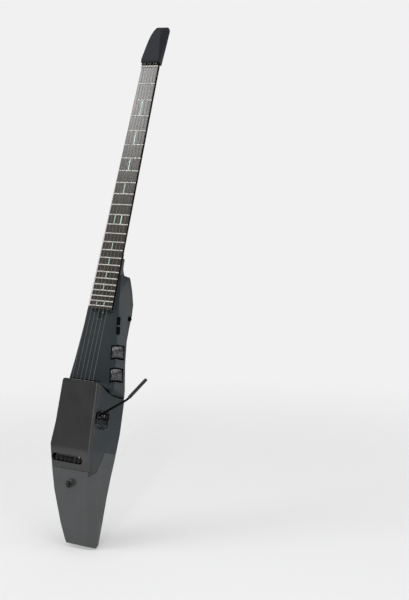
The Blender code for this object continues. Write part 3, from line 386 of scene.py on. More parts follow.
pearl = moulded_finish("pearl", (0.50, 0.72, 0.62), roughness=0.25, grain_mm=2.0, mottle=0.30)
inlays = bmesh.new()
for number, places in INLAY_PLACES.items():
    high, low = fret_height(number - 1) - INLAY_GAP, fret_height(number) + INLAY_GAP
    for middle in places:
        rows = []
        for z in (high, low):
            start = middle + INLAY_DRIFT * z / BOARD_END
            across = [start + INLAY_WIDTH * (step / INLAY_STEPS - 0.5) for step in range(INLAY_STEPS + 1)]
            bar_face = [(x, board_face(x, z) - INLAY_PROUD, z) for x in across]
            bar_foot = [(across[-1], INLAY_FOOT, z), (across[0], INLAY_FOOT, z)]
            rows.append([inlays.verts.new(corner) for corner in bar_face + bar_foot])
        skin_over(inlays, rows)
place_piece("pearl_inlays", inlays, pearl, "housing")


# The frets are lengths of crowned nickel-silver wire pressed into the board. Their ends are filed round, and
# on the treble side they stop short of the black edge.
FRET_COUNT = 24
FRET_WIDTH = 0.0024
FRET_HEIGHT = 0.0011
FRET_PROUD = 0.00002
FRET_ARC_STEPS = 8
FRET_FULLNESS = 0.8
FRET_END_GAP = 0.0003
FRET_ENDS = ((0.0, 0.25), (0.0004, 0.62), (0.0010, 0.88), (0.0020, 1.0))

fret_metal = moulded_finish("fret_metal", (0.62, 0.60, 0.55), roughness=0.42, metallic=1.0, mottle=0.03)
for number in range(1, FRET_COUNT + 1):
    z = fret_height(number)
    reach = board_half(z) - FRET_END_GAP
    stations = [(-reach + inset, size) for inset, size in FRET_ENDS]
    stations += [(reach * step / 5, 1.0) for step in range(-4, 5)]
    stations += [(reach - TREBLE_SHADE_STRIP + BOARD_SKIN - inset, size) for inset, size in reversed(FRET_ENDS)]
    wire = bmesh.new()
    rings = []
    for x, size in stations:
        foot = board_face(x, z) - FRET_PROUD
        ring = []
        for step in range(FRET_ARC_STEPS + 1):
            angle = math.pi * step / FRET_ARC_STEPS
            up = FRET_HEIGHT * size * math.sin(angle) ** FRET_FULLNESS
            ring.append(wire.verts.new((x, foot - up, z - FRET_WIDTH / 2 * size * math.cos(angle))))
        rings.append(ring)
    skin_over(wire, rings)
    fret = place_piece(f"fret_wire_{number:02d}", wire, fret_metal, "housing", smooth_deg=60.0)
    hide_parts(f"fret_{number:02d}")


# The nut is a bar of bone-white plastic with a shallow groove for each string. It is glued against the
# board's upper end, and its own ends are black like the neck.
STRING_COUNT = 6
STRING_SPREAD_NUT = 0.0335
STRING_SPREAD_BRIDGE = 0.0500
NUT_FRONT = -0.0019
NUT_BACK = 0.0050
NUT_TOP = 0.0008
NUT_FOOT = -0.0018
GROOVE_HALF = 0.0005
NUT_LONG_EDGE = 0.002
NUT_ROUNDING = 0.00025
NUT_END_PAINT = 0.0003


def string_place(index, spread):
    """How far across the neck a string lies."""
    return spread * (index / (STRING_COUNT - 1) - 0.5)


nut_white = moulded_finish("nut_white", (0.50, 0.48, 0.41), roughness=0.35, grain_mm=0.8, mottle=0.05)
nut_half = NUT_WIDTH / 2
front = [(-nut_half, NUT_FRONT)]
for index in range(STRING_COUNT):
    x = string_place(index, STRING_SPREAD_NUT)
    front += [(x - GROOVE_HALF, NUT_FRONT), (x, NUT_FRONT + GROOVE_HALF), (x + GROOVE_HALF, NUT_FRONT)]
outline = front + [(nut_half, NUT_FRONT), (nut_half, NUT_BACK), (-nut_half, NUT_BACK)]
bar = bmesh.new()
top = [bar.verts.new((x, y, NUT_TOP)) for x, y in outline]
foot = [bar.verts.new((x, y, NUT_FOOT)) for x, y in outline]
skin_over(bar, [top, foot])
long_edges = [edge for edge in bar.edges if edge.calc_length() > NUT_LONG_EDGE]
bmesh.ops.bevel(bar, geom=long_edges, offset=NUT_ROUNDING, segments=2, profile=0.5, affect="EDGES")
nut = place_piece("nut_bar", bar, nut_white, "housing")
paint_rooms(nut, neck_black, [lambda point: abs(point.x) > nut_half - NUT_END_PAINT])
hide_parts("nut")


# The string lock is a steel bar above the nut, lacquered black like the neck. Three blackened screws clamp
# it down, each between two strings.
LOCK_FRONT = -0.0016
LOCK_MIDDLE = 0.0046
LOCK_SCREW_PLACES = (-0.0134, 0.0, 0.0134)


def frame_at(place, outward, first):
    """A frame at a place: third axis outward, first axis as near as it can be to the one given."""
    third = Vector(outward).normalized()
    one = (Vector(first) - third * third.dot(Vector(first))).normalized()
    turned = Matrix((one, third.cross(one), third)).transposed().to_4x4()
    turned.translation = place
    return turned


def lathed(seat, profile, sides=40, shape=None):
    """A round form about its seat's third axis, from pairs of height and radius. Radius 0 closes an end."""
    shape = shape or bmesh.new()
    rings = []
    for level, radius in profile:
        if radius == 0:
            rings.append([shape.verts.new(seat @ Vector((0, 0, level)))])
            continue
        ring = []
        for side in range(sides):
            angle = math.tau * side / sides
            place = Vector((radius * math.cos(angle), radius * math.sin(angle), level))
            ring.append(shape.verts.new(seat @ place))
        rings.append(ring)
    for low, high in zip(rings, rings[1:]):
        for side in range(sides):
            near = (side + 1) % sides
            corners = [low[side % len(low)], low[near % len(low)]]
            corners += [high[near % len(high)], high[side % len(high)]]
            shape.faces.new(list(dict.fromkeys(corners)))
    for ring in (rings[0], rings[-1]):
        if len(ring) > 1:
            shape.faces.new(ring)
    return shape


def screw_head(shape, seat, radius, rise, socket=0.5):
    """Adds a low domed screw head with a round driver socket to a form."""
    edge = rise * 0.45
    profile = [(-rise * 0.5, radius * 0.98), (rise * 0.25, radius)]
    for step in range(1, 5):
        angle = math.pi / 2 * step / 4
        level = rise * 0.25 + (rise * 0.75) * math.sin(angle) ** 0.9
        profile.append((level, radius - edge * (1 - math.cos(angle))))
    hole = radius * socket
    profile += [(rise, hole * 1.1), (rise * 0.85, hole), (rise * 0.1, hole * 0.85), (0.0, 0)]
    return lathed(seat, profile, sides=24, shape=shape)


black_steel = moulded_finish("black_steel", (0.012, 0.012, 0.013), roughness=0.28, grain_mm=0.25,
                             metallic=0.35)
moulded_shell("string_lock", neck_black, "housing", wide=0.0006, narrow=0.0004)
lock_screws = bmesh.new()
for x in LOCK_SCREW_PLACES:
    seat = frame_at((x, LOCK_FRONT, LOCK_MIDDLE), (0, -1, 0), (1, 0, 0))
    screw_head(lock_screws, seat, radius=0.0018, rise=0.0007)
place_piece("lock_screws", lock_screws, black_steel, "housing")


# The six strings are equal lengths of drawn steel wire, from the lock over the nut into the mouth of the
# cover. Each ends in a turned ferrule on the bridge block.
STRING_RADIUS = 0.0003
STRING_LOCK_FRONT = -0.0031
STRING_NUT_FRONT = -0.0025
STRING_BRIDGE_FRONT = -0.0088
STRING_TOP = 0.0072
STRING_END = -0.6500
FERRULE_PROFILE = ((0.0, 0.0012), (0.0006, 0.0014), (0.0022, 0.0014), (0.0028, 0.0008), (0.0030, 0.0004))


def swept(points, radii, sides=16, shape=None):
    """A round bar along a path, with flat ends."""
    shape = shape or bmesh.new()
    path = [Vector(p) for p in points]
    across = None
    rings = []
    for index, place in enumerate(path):
        before, after = path[max(index - 1, 0)], path[min(index + 1, len(path) - 1)]
        along = (after - before).normalized()
        if across is None:
            across = along.orthogonal().normalized()
        across = (across - along * along.dot(across)).normalized()
        other = along.cross(across)
        ring = []
        for side in range(sides):
            angle = math.tau * side / sides
            outward = across * math.cos(angle) + other * math.sin(angle)
            ring.append(shape.verts.new(place + outward * radii[index]))
        rings.append(ring)
    skin_over(shape, rings)
    return shape


string_wire = moulded_finish("string_wire", (0.24, 0.245, 0.24), roughness=0.55, grain_mm=0.15, metallic=1.0,
                             mottle=0.03)
bright_steel = moulded_finish("bright_steel", (0.62, 0.61, 0.58), roughness=0.26, grain_mm=0.2, metallic=1.0,
                              mottle=0.03)
ferrules = bmesh.new()
for index in range(STRING_COUNT):
    top = string_place(index, STRING_SPREAD_NUT)
    foot = string_place(index, STRING_SPREAD_BRIDGE)
    path = [Vector((top, STRING_LOCK_FRONT, STRING_TOP)), Vector((top, STRING_NUT_FRONT - 0.0001, 0.0010)),
            Vector((top, STRING_NUT_FRONT, 0.0)),
            Vector((top + (foot - top) * 0.0015, STRING_NUT_FRONT, -0.0010)),
            Vector((foot, STRING_BRIDGE_FRONT, STRING_END))]
    wire = swept(path, [STRING_RADIUS] * len(path), sides=10)
    string = place_piece(f"string_wire_{index + 1}", wire, string_wire, "housing", smooth_deg=60.0)
    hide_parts(f"string_{index + 1}")
    seat = frame_at(path[-1], path[-2] - path[-1], (1, 0, 0))
    lathed(seat, FERRULE_PROFILE, sides=20, shape=ferrules)
place_piece("string_ferrules", ferrules, bright_steel, "housing")


# The head cap is one lopsided moulding over the neck's tongue, with a curved bass side, broad bevels round
# its front and a low step across its foot where the front turns towards the nut.
HEAD_FOOT = 0.0078
HEAD_STEP_HEIGHT = 0.0085
HEAD_STEP_DROP = 0.0011
HEAD_FRONT_LIMIT = 0.0015


def step_down(piece, height, drop):
    """Slopes the front of the cap back towards its foot, from a line across it at a height."""
    shape = bmesh.new()
    shape.from_mesh(piece.data)
    bmesh.ops.bisect_plane(shape, geom=shape.verts[:] + shape.edges[:] + shape.faces[:], dist=0.00001,
                           plane_co=(0, 0, height), plane_no=(0, 0, 1))
    for point in shape.verts:
        if point.co.z < height - 0.00005 and point.co.y < HEAD_FRONT_LIMIT:
            share = min(1.0, (height - point.co.z) / (height - HEAD_FOOT))
            point.co.y += drop * share
    shape.to_mesh(piece.data)
    shape.free()


head_grey = moulded_finish("head_grey", (0.024, 0.025, 0.030), roughness=0.42, shine=0.05)
head = moulded_shell("head_cap", head_grey, "housing", wide=0.0012, narrow=0.0006)
step_down(head, HEAD_FOOT + HEAD_STEP_HEIGHT, HEAD_STEP_DROP)


# The housing is one hollow moulding in blue-grey plastic with a satin skin: the wing with its ridge, the
# heel and the sides of the bridge block. The heel is lacquered black like the neck. The faces inside the
# rooms that open into it, round the wheels and keys and in the tuner pocket, are painted black: painted
# shade for their deep insides.
HEEL_PAINT_FOOT = -0.4214
RIDGE_LEAN = math.radians(24)
WHEEL_ROOM_RADIUS = 0.0129
WHEEL_ROOM_HALF = 0.0140
BUTTON_LEVEL = -0.0035
BUTTON_ROOM = (0.0079, 0.0035)
TUNER_SINK = 0.0050
TUNER_POCKET = (0.0370, 0.0078)
PAINT_DEPTH = -0.0006
SHOULDER_EASED = (((0.0677, 0.0287, -0.6615), (0.0678, 0.0285, -0.6545)),
                  ((0.0728, 0.0368, -0.6673), (0.0728, 0.0366, -0.6553)),
                  ((0.0579, 0.0095, -0.6510), (0.0568, 0.0102, -0.6512)),
                  ((0.0708, 0.0352, -0.6510), (0.0694, 0.0360, -0.6512)))


def in_oblong(room_frame, half_long, half_wide, top):
    """A room below a face: an oblong in the first two axes of its frame, deeper than top."""
    inverse = room_frame.inverted()

    def inside(point):
        x, y, z = inverse @ point
        return abs(x) < half_long and abs(y) < half_wide and z < top
    return inside


def in_drum(room_frame, radius, half_long):
    """A round room about the third axis of its frame."""
    inverse = room_frame.inverted()

    def inside(point):
        x, y, z = inverse @ point
        return math.hypot(x, y) < radius and abs(z) < half_long
    return inside


def ridge_outward(climb):
    """The way that the ridge faces, between its two slopes, square to the way it climbs."""
    outward = Vector((math.sin(RIDGE_LEAN), -math.cos(RIDGE_LEAN), 0.0))
    return (outward - climb * outward.dot(climb)).normalized()


wheel_frames = {}
for label in ("upper", "lower"):
    joint = joints[f"wheel_{label}_turn"]
    climb = Vector(joint["axis"]).normalized()
    wheel_frames[label] = frame_at(joint["pos_m"], climb, ridge_outward(climb))

button_middles = {}
for label in ("upper", "lower"):
    low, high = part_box(f"button_{label}")
    button_middles[label] = (Vector(low) + Vector(high)) / 2
button_climb = button_middles["upper"] - button_middles["lower"]
button_frames = {}
for label, middle in button_middles.items():
    outward = -Vector(joints[f"button_{label}_press"]["axis"]).normalized()
    button_frames[label] = frame_at(middle - outward * BUTTON_LEVEL, outward, button_climb)

tuner_places = [Vector(joints[f"tuner_{number}_turn"]["pos_m"]) for number in range(1, 7)]
tuner_up = Vector(joints["tuner_1_turn"]["axis"]).normalized()
tuner_outward = Vector((1, 0, 0)).cross(tuner_up).normalized()
tuner_middle = (tuner_places[0] + tuner_places[-1]) / 2
tuner_frame = frame_at(tuner_middle + tuner_outward * TUNER_SINK, tuner_outward, (1, 0, 0))

# This black is the heel's own lacquer and also painted shade: the insides of the wheel windows, key slots and
# tuner pocket are painted black where shade falls in them.
heel_black_and_room_shade = moulded_finish("heel_black_and_room_shade", (0.003, 0.003, 0.0035), roughness=0.45, shine=0.10)
tuner_shade_room = in_oblong(tuner_frame, *TUNER_POCKET, PAINT_DEPTH)
rooms = [in_drum(wheel_frame, WHEEL_ROOM_RADIUS, WHEEL_ROOM_HALF) for wheel_frame in wheel_frames.values()]
rooms += [in_oblong(button_frame, *BUTTON_ROOM, PAINT_DEPTH) for button_frame in button_frames.values()]
rooms += [tuner_shade_room, lambda point: point.z > HEEL_PAINT_FOOT]

housing_grey = moulded_finish("housing_grey", (0.027, 0.035, 0.038), roughness=0.31)
housing = moulded_shell("body_housing", housing_grey, "housing", wide=0.0011, narrow=0.0005,
                        eased=SHOULDER_EASED)
paint_rooms(housing, heel_black_and_room_shade, rooms)


# The cover over the bridge is a separate thin moulding, folded across its foot to meet the tail. Its skin is
# rubbed lengthwise, which leaves faint bands.
BAND_PITCH = 0.0085
BAND_LENGTHWISE = 0.6
BAND_DEPTH = 0.0006

cover_grey = moulded_finish("cover_grey", (0.038, 0.039, 0.038), roughness=0.27)


def rub_lengthwise(finish, depth):
    """Adds faint lengthwise bands to a finish, as shallow waves across it."""
    tree = finish.node_tree
    shader = tree.nodes["Principled BSDF"]
    place = tree.nodes.new("ShaderNodeTexCoord")
    squeezed = tree.nodes.new("ShaderNodeVectorMath")
    squeezed.operation = "MULTIPLY"
    squeezed.inputs[1].default_value = (1.0 / BAND_PITCH, BAND_LENGTHWISE, BAND_LENGTHWISE)
    tree.links.new(place.outputs["Object"], squeezed.inputs[0])
    bands = tree.nodes.new("ShaderNodeTexNoise")
    bands.inputs["Scale"].default_value = 1.0
    bands.inputs["Detail"].default_value = 2.0
    tree.links.new(squeezed.outputs["Vector"], bands.inputs["Vector"])
    waves = tree.nodes.new("ShaderNodeBump")
    waves.inputs["Strength"].default_value = 1.0
    waves.inputs["Distance"].default_value = depth
    tree.links.new(bands.outputs["Fac"], waves.inputs["Height"])
    before = shader.inputs["Normal"].links[0].from_socket
    tree.links.new(before, waves.inputs["Normal"])
    tree.links.new(waves.outputs["Normal"], shader.inputs["Normal"])


rub_lengthwise(cover_grey, BAND_DEPTH)
cover = moulded_shell("bridge_cover", cover_grey, "housing", wide=0.0015, narrow=0.0006)
# The tuner pocket's walls in the cover are painted black too, as painted shade inside the pocket.
paint_rooms(cover, heel_black_and_room_shade, [tuner_shade_room])


# The tail cap closes the lower end. It is a deep moulding in a lighter grey and a little glossier than the
# rest, held to the block along a stepped seam.
tail_grey = moulded_finish("tail_grey", (0.055, 0.060, 0.061), roughness=0.30, shine=0.6)
moulded_shell("tail_cap", tail_grey, "housing", wide=0.0006, narrow=0.0004)


# The rear cover is a flat moulded plate in a dull grey, let into the back. Six countersunk screws of
# blackened steel hold it.
BACK = 0.0760
REAR_SCREW_PLACES = ((0.0115, -0.558), (0.0300, -0.641), (0.0335, -0.7435), (-0.0355, -0.7435),
                     (-0.0355, -0.641), (-0.0225, -0.558))
REAR_SCREW_RISE = 0.0004

rear_grey = moulded_finish("rear_grey", (0.030, 0.032, 0.033), roughness=0.50, grain_mm=0.6,
                           grain_depth=0.00005)
moulded_shell("rear_cover", rear_grey, "housing", wide=0.0005, narrow=0.0005)
rear_screws = bmesh.new()
for x, z in REAR_SCREW_PLACES:
    seat = frame_at((x, BACK - REAR_SCREW_RISE, z), (0, 1, 0), (1, 0, 0))
    screw_head(rear_screws, seat, radius=0.0026, rise=REAR_SCREW_RISE)
place_piece("rear_screws", rear_screws, black_steel, "housing")


# The truss rod's end shows in the recess below the fingerboard, as a bolt of dull steel with a socket in its
# head. It is fixed in the neck.
BOLT_PLACE = (0.0012, 0.0102, -0.4958)
BOLT_RADIUS = 0.0026
BOLT_PROFILE = ((0.0, BOLT_RADIUS), (0.0024, BOLT_RADIUS), (0.0029, BOLT_RADIUS * 0.86),
                (0.0029, BOLT_RADIUS * 0.56), (0.0010, BOLT_RADIUS * 0.5), (0.0010, 0))

dull_steel = moulded_finish("dull_steel", (0.20, 0.20, 0.20), roughness=0.40, grain_mm=0.2, metallic=1.0,
                            mottle=0.05)
bolt = lathed(frame_at(BOLT_PLACE, (0, 0, -1), (1, 0, 0)), BOLT_PROFILE, sides=24)
place_piece("truss_bolt", bolt, dull_steel, "housing")


# The two push buttons are narrow keys in dead black plastic with softly rounded tops. They slide in their
# slots and stand a millimetre out of the ridge.
BUTTON_LENGTH = 0.0148
BUTTON_WIDTH = 0.0060
BUTTON_CORNER = 0.0012
BUTTON_LEVELS = (-0.0080, 0.0010)
BUTTON_EDGE = 0.0008


def rounded_outline(length, width, corner, steps=4):
    """An oblong outline with rounded corners."""
    points = []
    for quarter, (side_x, side_y) in enumerate(((1, 1), (-1, 1), (-1, -1), (1, -1))):
        for step in range(steps + 1):
            angle = math.pi / 2 * (quarter + step / steps)
            points.append((side_x * (length / 2 - corner) + corner * math.cos(angle),
                           side_y * (width / 2 - corner) + corner * math.sin(angle)))
    return points


def pad(seat, length, width, corner, low, high, edge):
    """A rounded oblong block from low to high on its seat, its outer rim rolled over."""
    shape = bmesh.new()
    levels = [(low, 0.0)]
    for step in range(5):
        angle = math.pi / 2 * step / 4
        levels.append((high - edge * (1 - math.sin(angle)), edge * (1 - math.cos(angle))))
    rings = []
    for level, inset in levels:
        outline = rounded_outline(length - 2 * inset, width - 2 * inset, max(corner - inset, corner * 0.3))
        rings.append([shape.verts.new(seat @ Vector((x, y, level))) for x, y in outline])
    skin_over(shape, rings)
    return shape


key_black = moulded_finish("key_black", (0.002, 0.002, 0.0025), roughness=0.45, shine=0.04)
for label, button_frame in button_frames.items():
    key_shape = pad(button_frame, BUTTON_LENGTH, BUTTON_WIDTH, BUTTON_CORNER, *BUTTON_LEVELS, BUTTON_EDGE)
    key = place_piece(f"button_key_{label}", key_shape, key_black, f"button_{label}")
    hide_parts(f"button_{label}")


# Each drum wheel is moulded in grey plastic with fine ribs along it and a smooth black cheek at either end.
# It turns on a steel axle that lies in the housing.
WHEEL_RADIUS = 0.0110
WHEEL_LENGTH = 0.0256
WHEEL_RIBS = 28
WHEEL_RIB_HEIGHT = 0.0007
WHEEL_RIB_FULLNESS = 1.6
WHEEL_END_EDGE = (0.0005, 0.0006)
RIB_POINTS = 6
CHEEK_LENGTH = 0.0022
CHEEK_RADIUS = 0.0106
CHEEK_EDGE = 0.0005
CHEEK_DISH = (0.0048, 0.0044, 0.0008)
AXLE_BORE = 0.0024
AXLE_RADIUS = 0.0020
AXLE_EDGE = 0.0004
AXLE_PAST = 0.0030


def fluted_ring(shape, seat, level, radius, flutes, depth, fullness, points):
    """A ring of points about the third axis of its seat, at a level, with flutes cut into it."""
    ring = []
    for side in range(flutes * points):
        angle = math.tau * side / (flutes * points)
        wave = 0.5 - 0.5 * math.cos(flutes * angle)
        reach = radius - depth * wave ** fullness
        ring.append(shape.verts.new(seat @ Vector((reach * math.cos(angle), reach * math.sin(angle), level))))
    return ring


wheel_grey = moulded_finish("wheel_grey", (0.030, 0.030, 0.034), roughness=0.26, shine=0.8)
for label, wheel_frame in wheel_frames.items():
    grip = bmesh.new()
    grip_half = WHEEL_LENGTH / 2 - CHEEK_LENGTH
    edge_length, edge_drop = WHEEL_END_EDGE
    levels = ((-grip_half, edge_drop), (-grip_half + edge_length, 0.0), (grip_half - edge_length, 0.0),
              (grip_half, edge_drop))
    rings = [fluted_ring(grip, wheel_frame, level, WHEEL_RADIUS - shrink, WHEEL_RIBS, WHEEL_RIB_HEIGHT,
                         WHEEL_RIB_FULLNESS, RIB_POINTS) for level, shrink in levels]
    skin_over(grip, rings, closed=False)
    wheel = place_piece(f"wheel_grip_{label}", grip, wheel_grey, f"wheel_{label}", smooth_deg=60.0)
    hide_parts(f"wheel_{label}")
    cheeks = bmesh.new()
    for side in (-1, 1):
        start = side * (grip_half - 0.0002)
        end = side * WHEEL_LENGTH / 2
        dish_radius, dish_foot, dish_depth = CHEEK_DISH
        profile = [(start, AXLE_BORE), (start, CHEEK_RADIUS), (end - side * CHEEK_EDGE, CHEEK_RADIUS),
                   (end, CHEEK_RADIUS - CHEEK_EDGE), (end, dish_radius), (end - side * dish_depth, dish_foot),
                   (end - side * dish_depth, AXLE_BORE)]
        lathed(wheel_frame, profile, sides=64, shape=cheeks)
    place_piece(f"wheel_cheeks_{label}", cheeks, key_black, f"wheel_{label}")
    reach = WHEEL_LENGTH / 2 + AXLE_PAST
    profile = [(-reach, AXLE_RADIUS - AXLE_EDGE), (-reach + AXLE_EDGE, AXLE_RADIUS),
               (reach - AXLE_EDGE, AXLE_RADIUS), (reach, AXLE_RADIUS - AXLE_EDGE)]
    axle = lathed(wheel_frame, profile, sides=24)
    rod = place_piece(f"wheel_axle_rod_{label}", axle, bright_steel, "housing")
    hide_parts(f"wheel_axle_{label}")


# In the mouth of the cover the strings pass over the sensor, a bar moulded in dead black plastic. Below it
# they end in the bridge block of blackened steel. Both are fixed to the housing.
moulded_shell("string_sensor", key_black, "housing", wide=0.0007, narrow=0.0005)
moulded_shell("bridge_block", black_steel, "housing", wide=0.0007, narrow=0.0005)


# The six tuners are small knurled knobs of blackened brass in the oblong pocket. Their shafts turn in a
# steel rail.
KNOB_RADIUS = 0.0042
KNOB_FLUTES = 12
KNOB_FLUTE_DEPTH = 0.0006
KNOB_FLUTE_FULLNESS = 2
KNOB_LOW = -0.0068
KNOB_HIGH = 0.0035
KNOB_EDGE = ((0.0, 0.0011), (0.0003, 0.0006), (0.0009, 0.0))
FLUTE_POINTS = 8
SHAFT_RADIUS = 0.0015
SHAFT_TOP = 0.0064

knob_black = moulded_finish("knob_black", (0.020, 0.020, 0.021), roughness=0.22, grain_mm=0.2, metallic=0.6)
moulded_shell("tuner_rail", black_steel, "housing", wide=0.0004, narrow=0.0003)
for number, middle in enumerate(tuner_places, 1):
    knob_frame = frame_at(middle, tuner_up, (1, 0, 0))
    knob = bmesh.new()
    levels = [(KNOB_LOW + inset, shrink) for inset, shrink in KNOB_EDGE]
    levels += [(KNOB_HIGH - inset, shrink) for inset, shrink in reversed(KNOB_EDGE)]
    rings = []
    for level, shrink in levels:
        depth = KNOB_FLUTE_DEPTH if shrink < KNOB_EDGE[0][1] else 0.0
        rings.append(fluted_ring(knob, knob_frame, level, KNOB_RADIUS - shrink, KNOB_FLUTES, depth,
                                 KNOB_FLUTE_FULLNESS, FLUTE_POINTS))
    skin_over(knob, rings)
    piece = place_piece(f"tuner_grip_{number}", knob, knob_black, f"tuner_{number}", smooth_deg=50.0)
    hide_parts(f"tuner_knob_{number}")
    profile = [(KNOB_HIGH - 0.0005, SHAFT_RADIUS), (SHAFT_TOP, SHAFT_RADIUS),
               (SHAFT_TOP + 0.0002, SHAFT_RADIUS * 0.8)]
    shaft = lathed(knob_frame, profile, sides=20)
    place_piece(f"tuner_shaft_{number}", shaft, bright_steel, f"tuner_{number}")


# The tremolo is a rocking drum of blackened steel on two pins, in a slot across its pocket. The pocket's
# floor above and below it is moulded with the housing; a round stop, a return spring and a bent wire catch
# lie on it.
ARM_CLIMB = 0.0075
ARM_ACROSS = 0.0085
DRUM_RADIUS = 0.0065
DRUM_HALF = 0.0110
DRUM_EDGE = 0.0008
PIN_RADIUS = 0.0020
PIN_HALF = 0.0149
PIN_EDGE = 0.0004
POCKET_LENGTH = 0.0342
POCKET_WIDTH = 0.0257
POCKET_CORNER = 0.0086
POCKET_FLOOR = -0.0045
POCKET_BOTTOM = -0.0158
SLOT_HALF = 0.0082
FLOOR_MIDDLE = 0.0120
STOP_PLACE = (0.0118, 0.0072)
STOP_RADIUS = 0.0038
STOP_PROFILE = ((POCKET_FLOOR - 0.0005, STOP_RADIUS), (-0.0026, STOP_RADIUS), (-0.0020, STOP_RADIUS * 0.88),
                (-0.0020, STOP_RADIUS * 0.72), (-0.0034, STOP_RADIUS * 0.66), (-0.0034, 0))
GRUB_PLACES = ((-34.0, 0.0050), (2.0, -0.0030), (8.0, 0.0010), (-30.0, 0.0088))
GRUB_RADIUS = 0.0009
CATCH_RADIUS = 0.0009
CATCH_BENDS = (((-0.0090, 0.0030), (-0.0100, 0.0006), (-0.0118, -0.0020), (-0.0124, -0.0046)),
               ((-0.0130, 0.0078), (-0.0148, 0.0050), (-0.0154, 0.0010), (-0.0150, -0.0040),
                (-0.0138, -0.0072)),
               ((-0.0088, -0.0052), (-0.0088, -0.0078)))

facet_out = Vector(joints["arm_swing"]["axis"]).normalized()
drum_across = Vector(joints["tremolo_rock"]["axis"]).normalized()
facet_climb = drum_across.cross(facet_out).normalized()
arm_root = Vector(joints["arm_swing"]["pos_m"])
pocket = frame_at(arm_root - facet_climb * ARM_CLIMB - drum_across * ARM_ACROSS, facet_out, facet_climb)
rock_frame = frame_at(joints["tremolo_rock"]["pos_m"], drum_across, facet_climb)

floors = bmesh.new()
for side in (-1, 1):
    outline = rounded_outline(POCKET_LENGTH, POCKET_WIDTH, POCKET_CORNER)
    kept = [(x, y) for x, y in outline if x * side > SLOT_HALF]
    widest = max(abs(y) for x, y in kept)
    kept += [(SLOT_HALF * side, widest), (SLOT_HALF * side, -widest)]
    kept.sort(key=lambda point: math.atan2(point[1], point[0] - side * FLOOR_MIDDLE))
    top = [floors.verts.new(pocket @ Vector((x, y, POCKET_FLOOR))) for x, y in kept]
    foot = [floors.verts.new(pocket @ Vector((x, y, POCKET_BOTTOM))) for x, y in kept]
    skin_over(floors, [top, foot])
place_piece("pocket_floor", floors, housing_grey, "housing")

tremolo_black = moulded_finish("tremolo_black", (0.003, 0.003, 0.003), roughness=0.32, grain_mm=0.25,
                               shine=0.25)
profile = [(-PIN_HALF, PIN_RADIUS * 0.8), (-PIN_HALF + PIN_EDGE, PIN_RADIUS), (-DRUM_HALF, PIN_RADIUS),
           (-DRUM_HALF, DRUM_RADIUS - DRUM_EDGE), (-DRUM_HALF + DRUM_EDGE, DRUM_RADIUS),
           (DRUM_HALF - DRUM_EDGE, DRUM_RADIUS), (DRUM_HALF, DRUM_RADIUS - DRUM_EDGE),
           (DRUM_HALF, PIN_RADIUS), (PIN_HALF - PIN_EDGE, PIN_RADIUS), (PIN_HALF, PIN_RADIUS * 0.8)]
drum = lathed(rock_frame, profile, sides=64)
drum_piece = place_piece("tremolo_rocker", drum, tremolo_black, "tremolo")
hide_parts("tremolo_drum")
grubs = bmesh.new()
for turn_deg, across in GRUB_PLACES:
    turned = math.radians(turn_deg)
    outward = facet_climb * math.sin(turned) + facet_out * math.cos(turned)
    centre = rock_frame.translation + drum_across * across + outward * (DRUM_RADIUS - 0.0001)
    screw_head(grubs, frame_at(centre, outward, drum_across), GRUB_RADIUS, rise=0.0004)
place_piece("drum_grub_screws", grubs, bright_steel, "tremolo")

stop = pocket @ Matrix.Translation((*STOP_PLACE, 0.0))
place_piece("tremolo_stop", lathed(stop, STOP_PROFILE, sides=32), tremolo_black, "housing")
catches = bmesh.new()
for points in CATCH_BENDS:
    path = [pocket @ Vector((x, y, POCKET_FLOOR + CATCH_RADIUS * 0.6)) for x, y in points]
    swept(path, [CATCH_RADIUS] * len(path), sides=12, shape=catches)
place_piece("tremolo_springs", catches, tremolo_black, "housing")


# The arm is a bent steel rod, lacquered black, that plugs into the drum through a turned collar. Its upper
# leg is thickened by a sleeve of black rubber with a rounded tip.
ROD_RADIUS = 0.0021
SLEEVE_RADIUS = 0.0031
ARM_BEND = Vector((0.1257, -0.0292, -0.6588))
ARM_TIP = Vector((0.1630, -0.0350, -0.6174))
BEND_ROOM = (0.10, 0.09)
ROD_SEAT = (0.0, 0.0, -0.0110)
ROD_EXIT = (0.0, 0.0, 0.0010)
ROD_CURVE = (0.0012, 0.0, 0.0045)
CURVE_SHARE = 0.04
ROD_END_SHARE = 0.20
COLLAR_PROFILE = ((-0.0022, 0.0019), (-0.0022, 0.0030), (0.0000, 0.0033), (0.0008, 0.0030), (0.0014, 0.0022),
                  (0.0014, 0.0019))
SLEEVE_SHAPE = ((0.0, 0.72), (0.012, 0.92), (0.03, 1.0), (0.5, 1.0), (0.955, 1.0), (0.978, 0.88),
                (0.992, 0.62), (1.0, 0.25))

arm_frame = frame_at(arm_root, facet_out, facet_climb)
inner = arm_frame @ Vector(ROD_SEAT)
out = arm_frame @ Vector(ROD_EXIT)
turn_in = arm_frame @ Vector(ROD_CURVE)
leaving = ARM_BEND.lerp(turn_in, BEND_ROOM[0])
arriving = ARM_BEND.lerp(ARM_TIP, BEND_ROOM[1])
path = [inner, out]
for step in range(1, 5):
    share = step / 5
    path.append(out.lerp(turn_in, share).lerp(turn_in.lerp(ARM_BEND, CURVE_SHARE), share))
path.append(turn_in.lerp(ARM_BEND, CURVE_SHARE))
for step in range(9):
    share = step / 8
    path.append(leaving.lerp(ARM_BEND, share).lerp(ARM_BEND.lerp(arriving, share), share))
path.append(ARM_TIP.lerp(arriving, ROD_END_SHARE))
arm_black = moulded_finish("arm_black", (0.002, 0.002, 0.002), roughness=0.50, shine=0.03)
rod_shape = swept(path, [ROD_RADIUS] * len(path), sides=20)
arm = place_piece("tremolo_rod", rod_shape, arm_black, "arm", smooth_deg=60.0)
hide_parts("tremolo_arm")
place_piece("arm_collar", lathed(arm_frame, COLLAR_PROFILE, sides=32), black_steel, "arm")
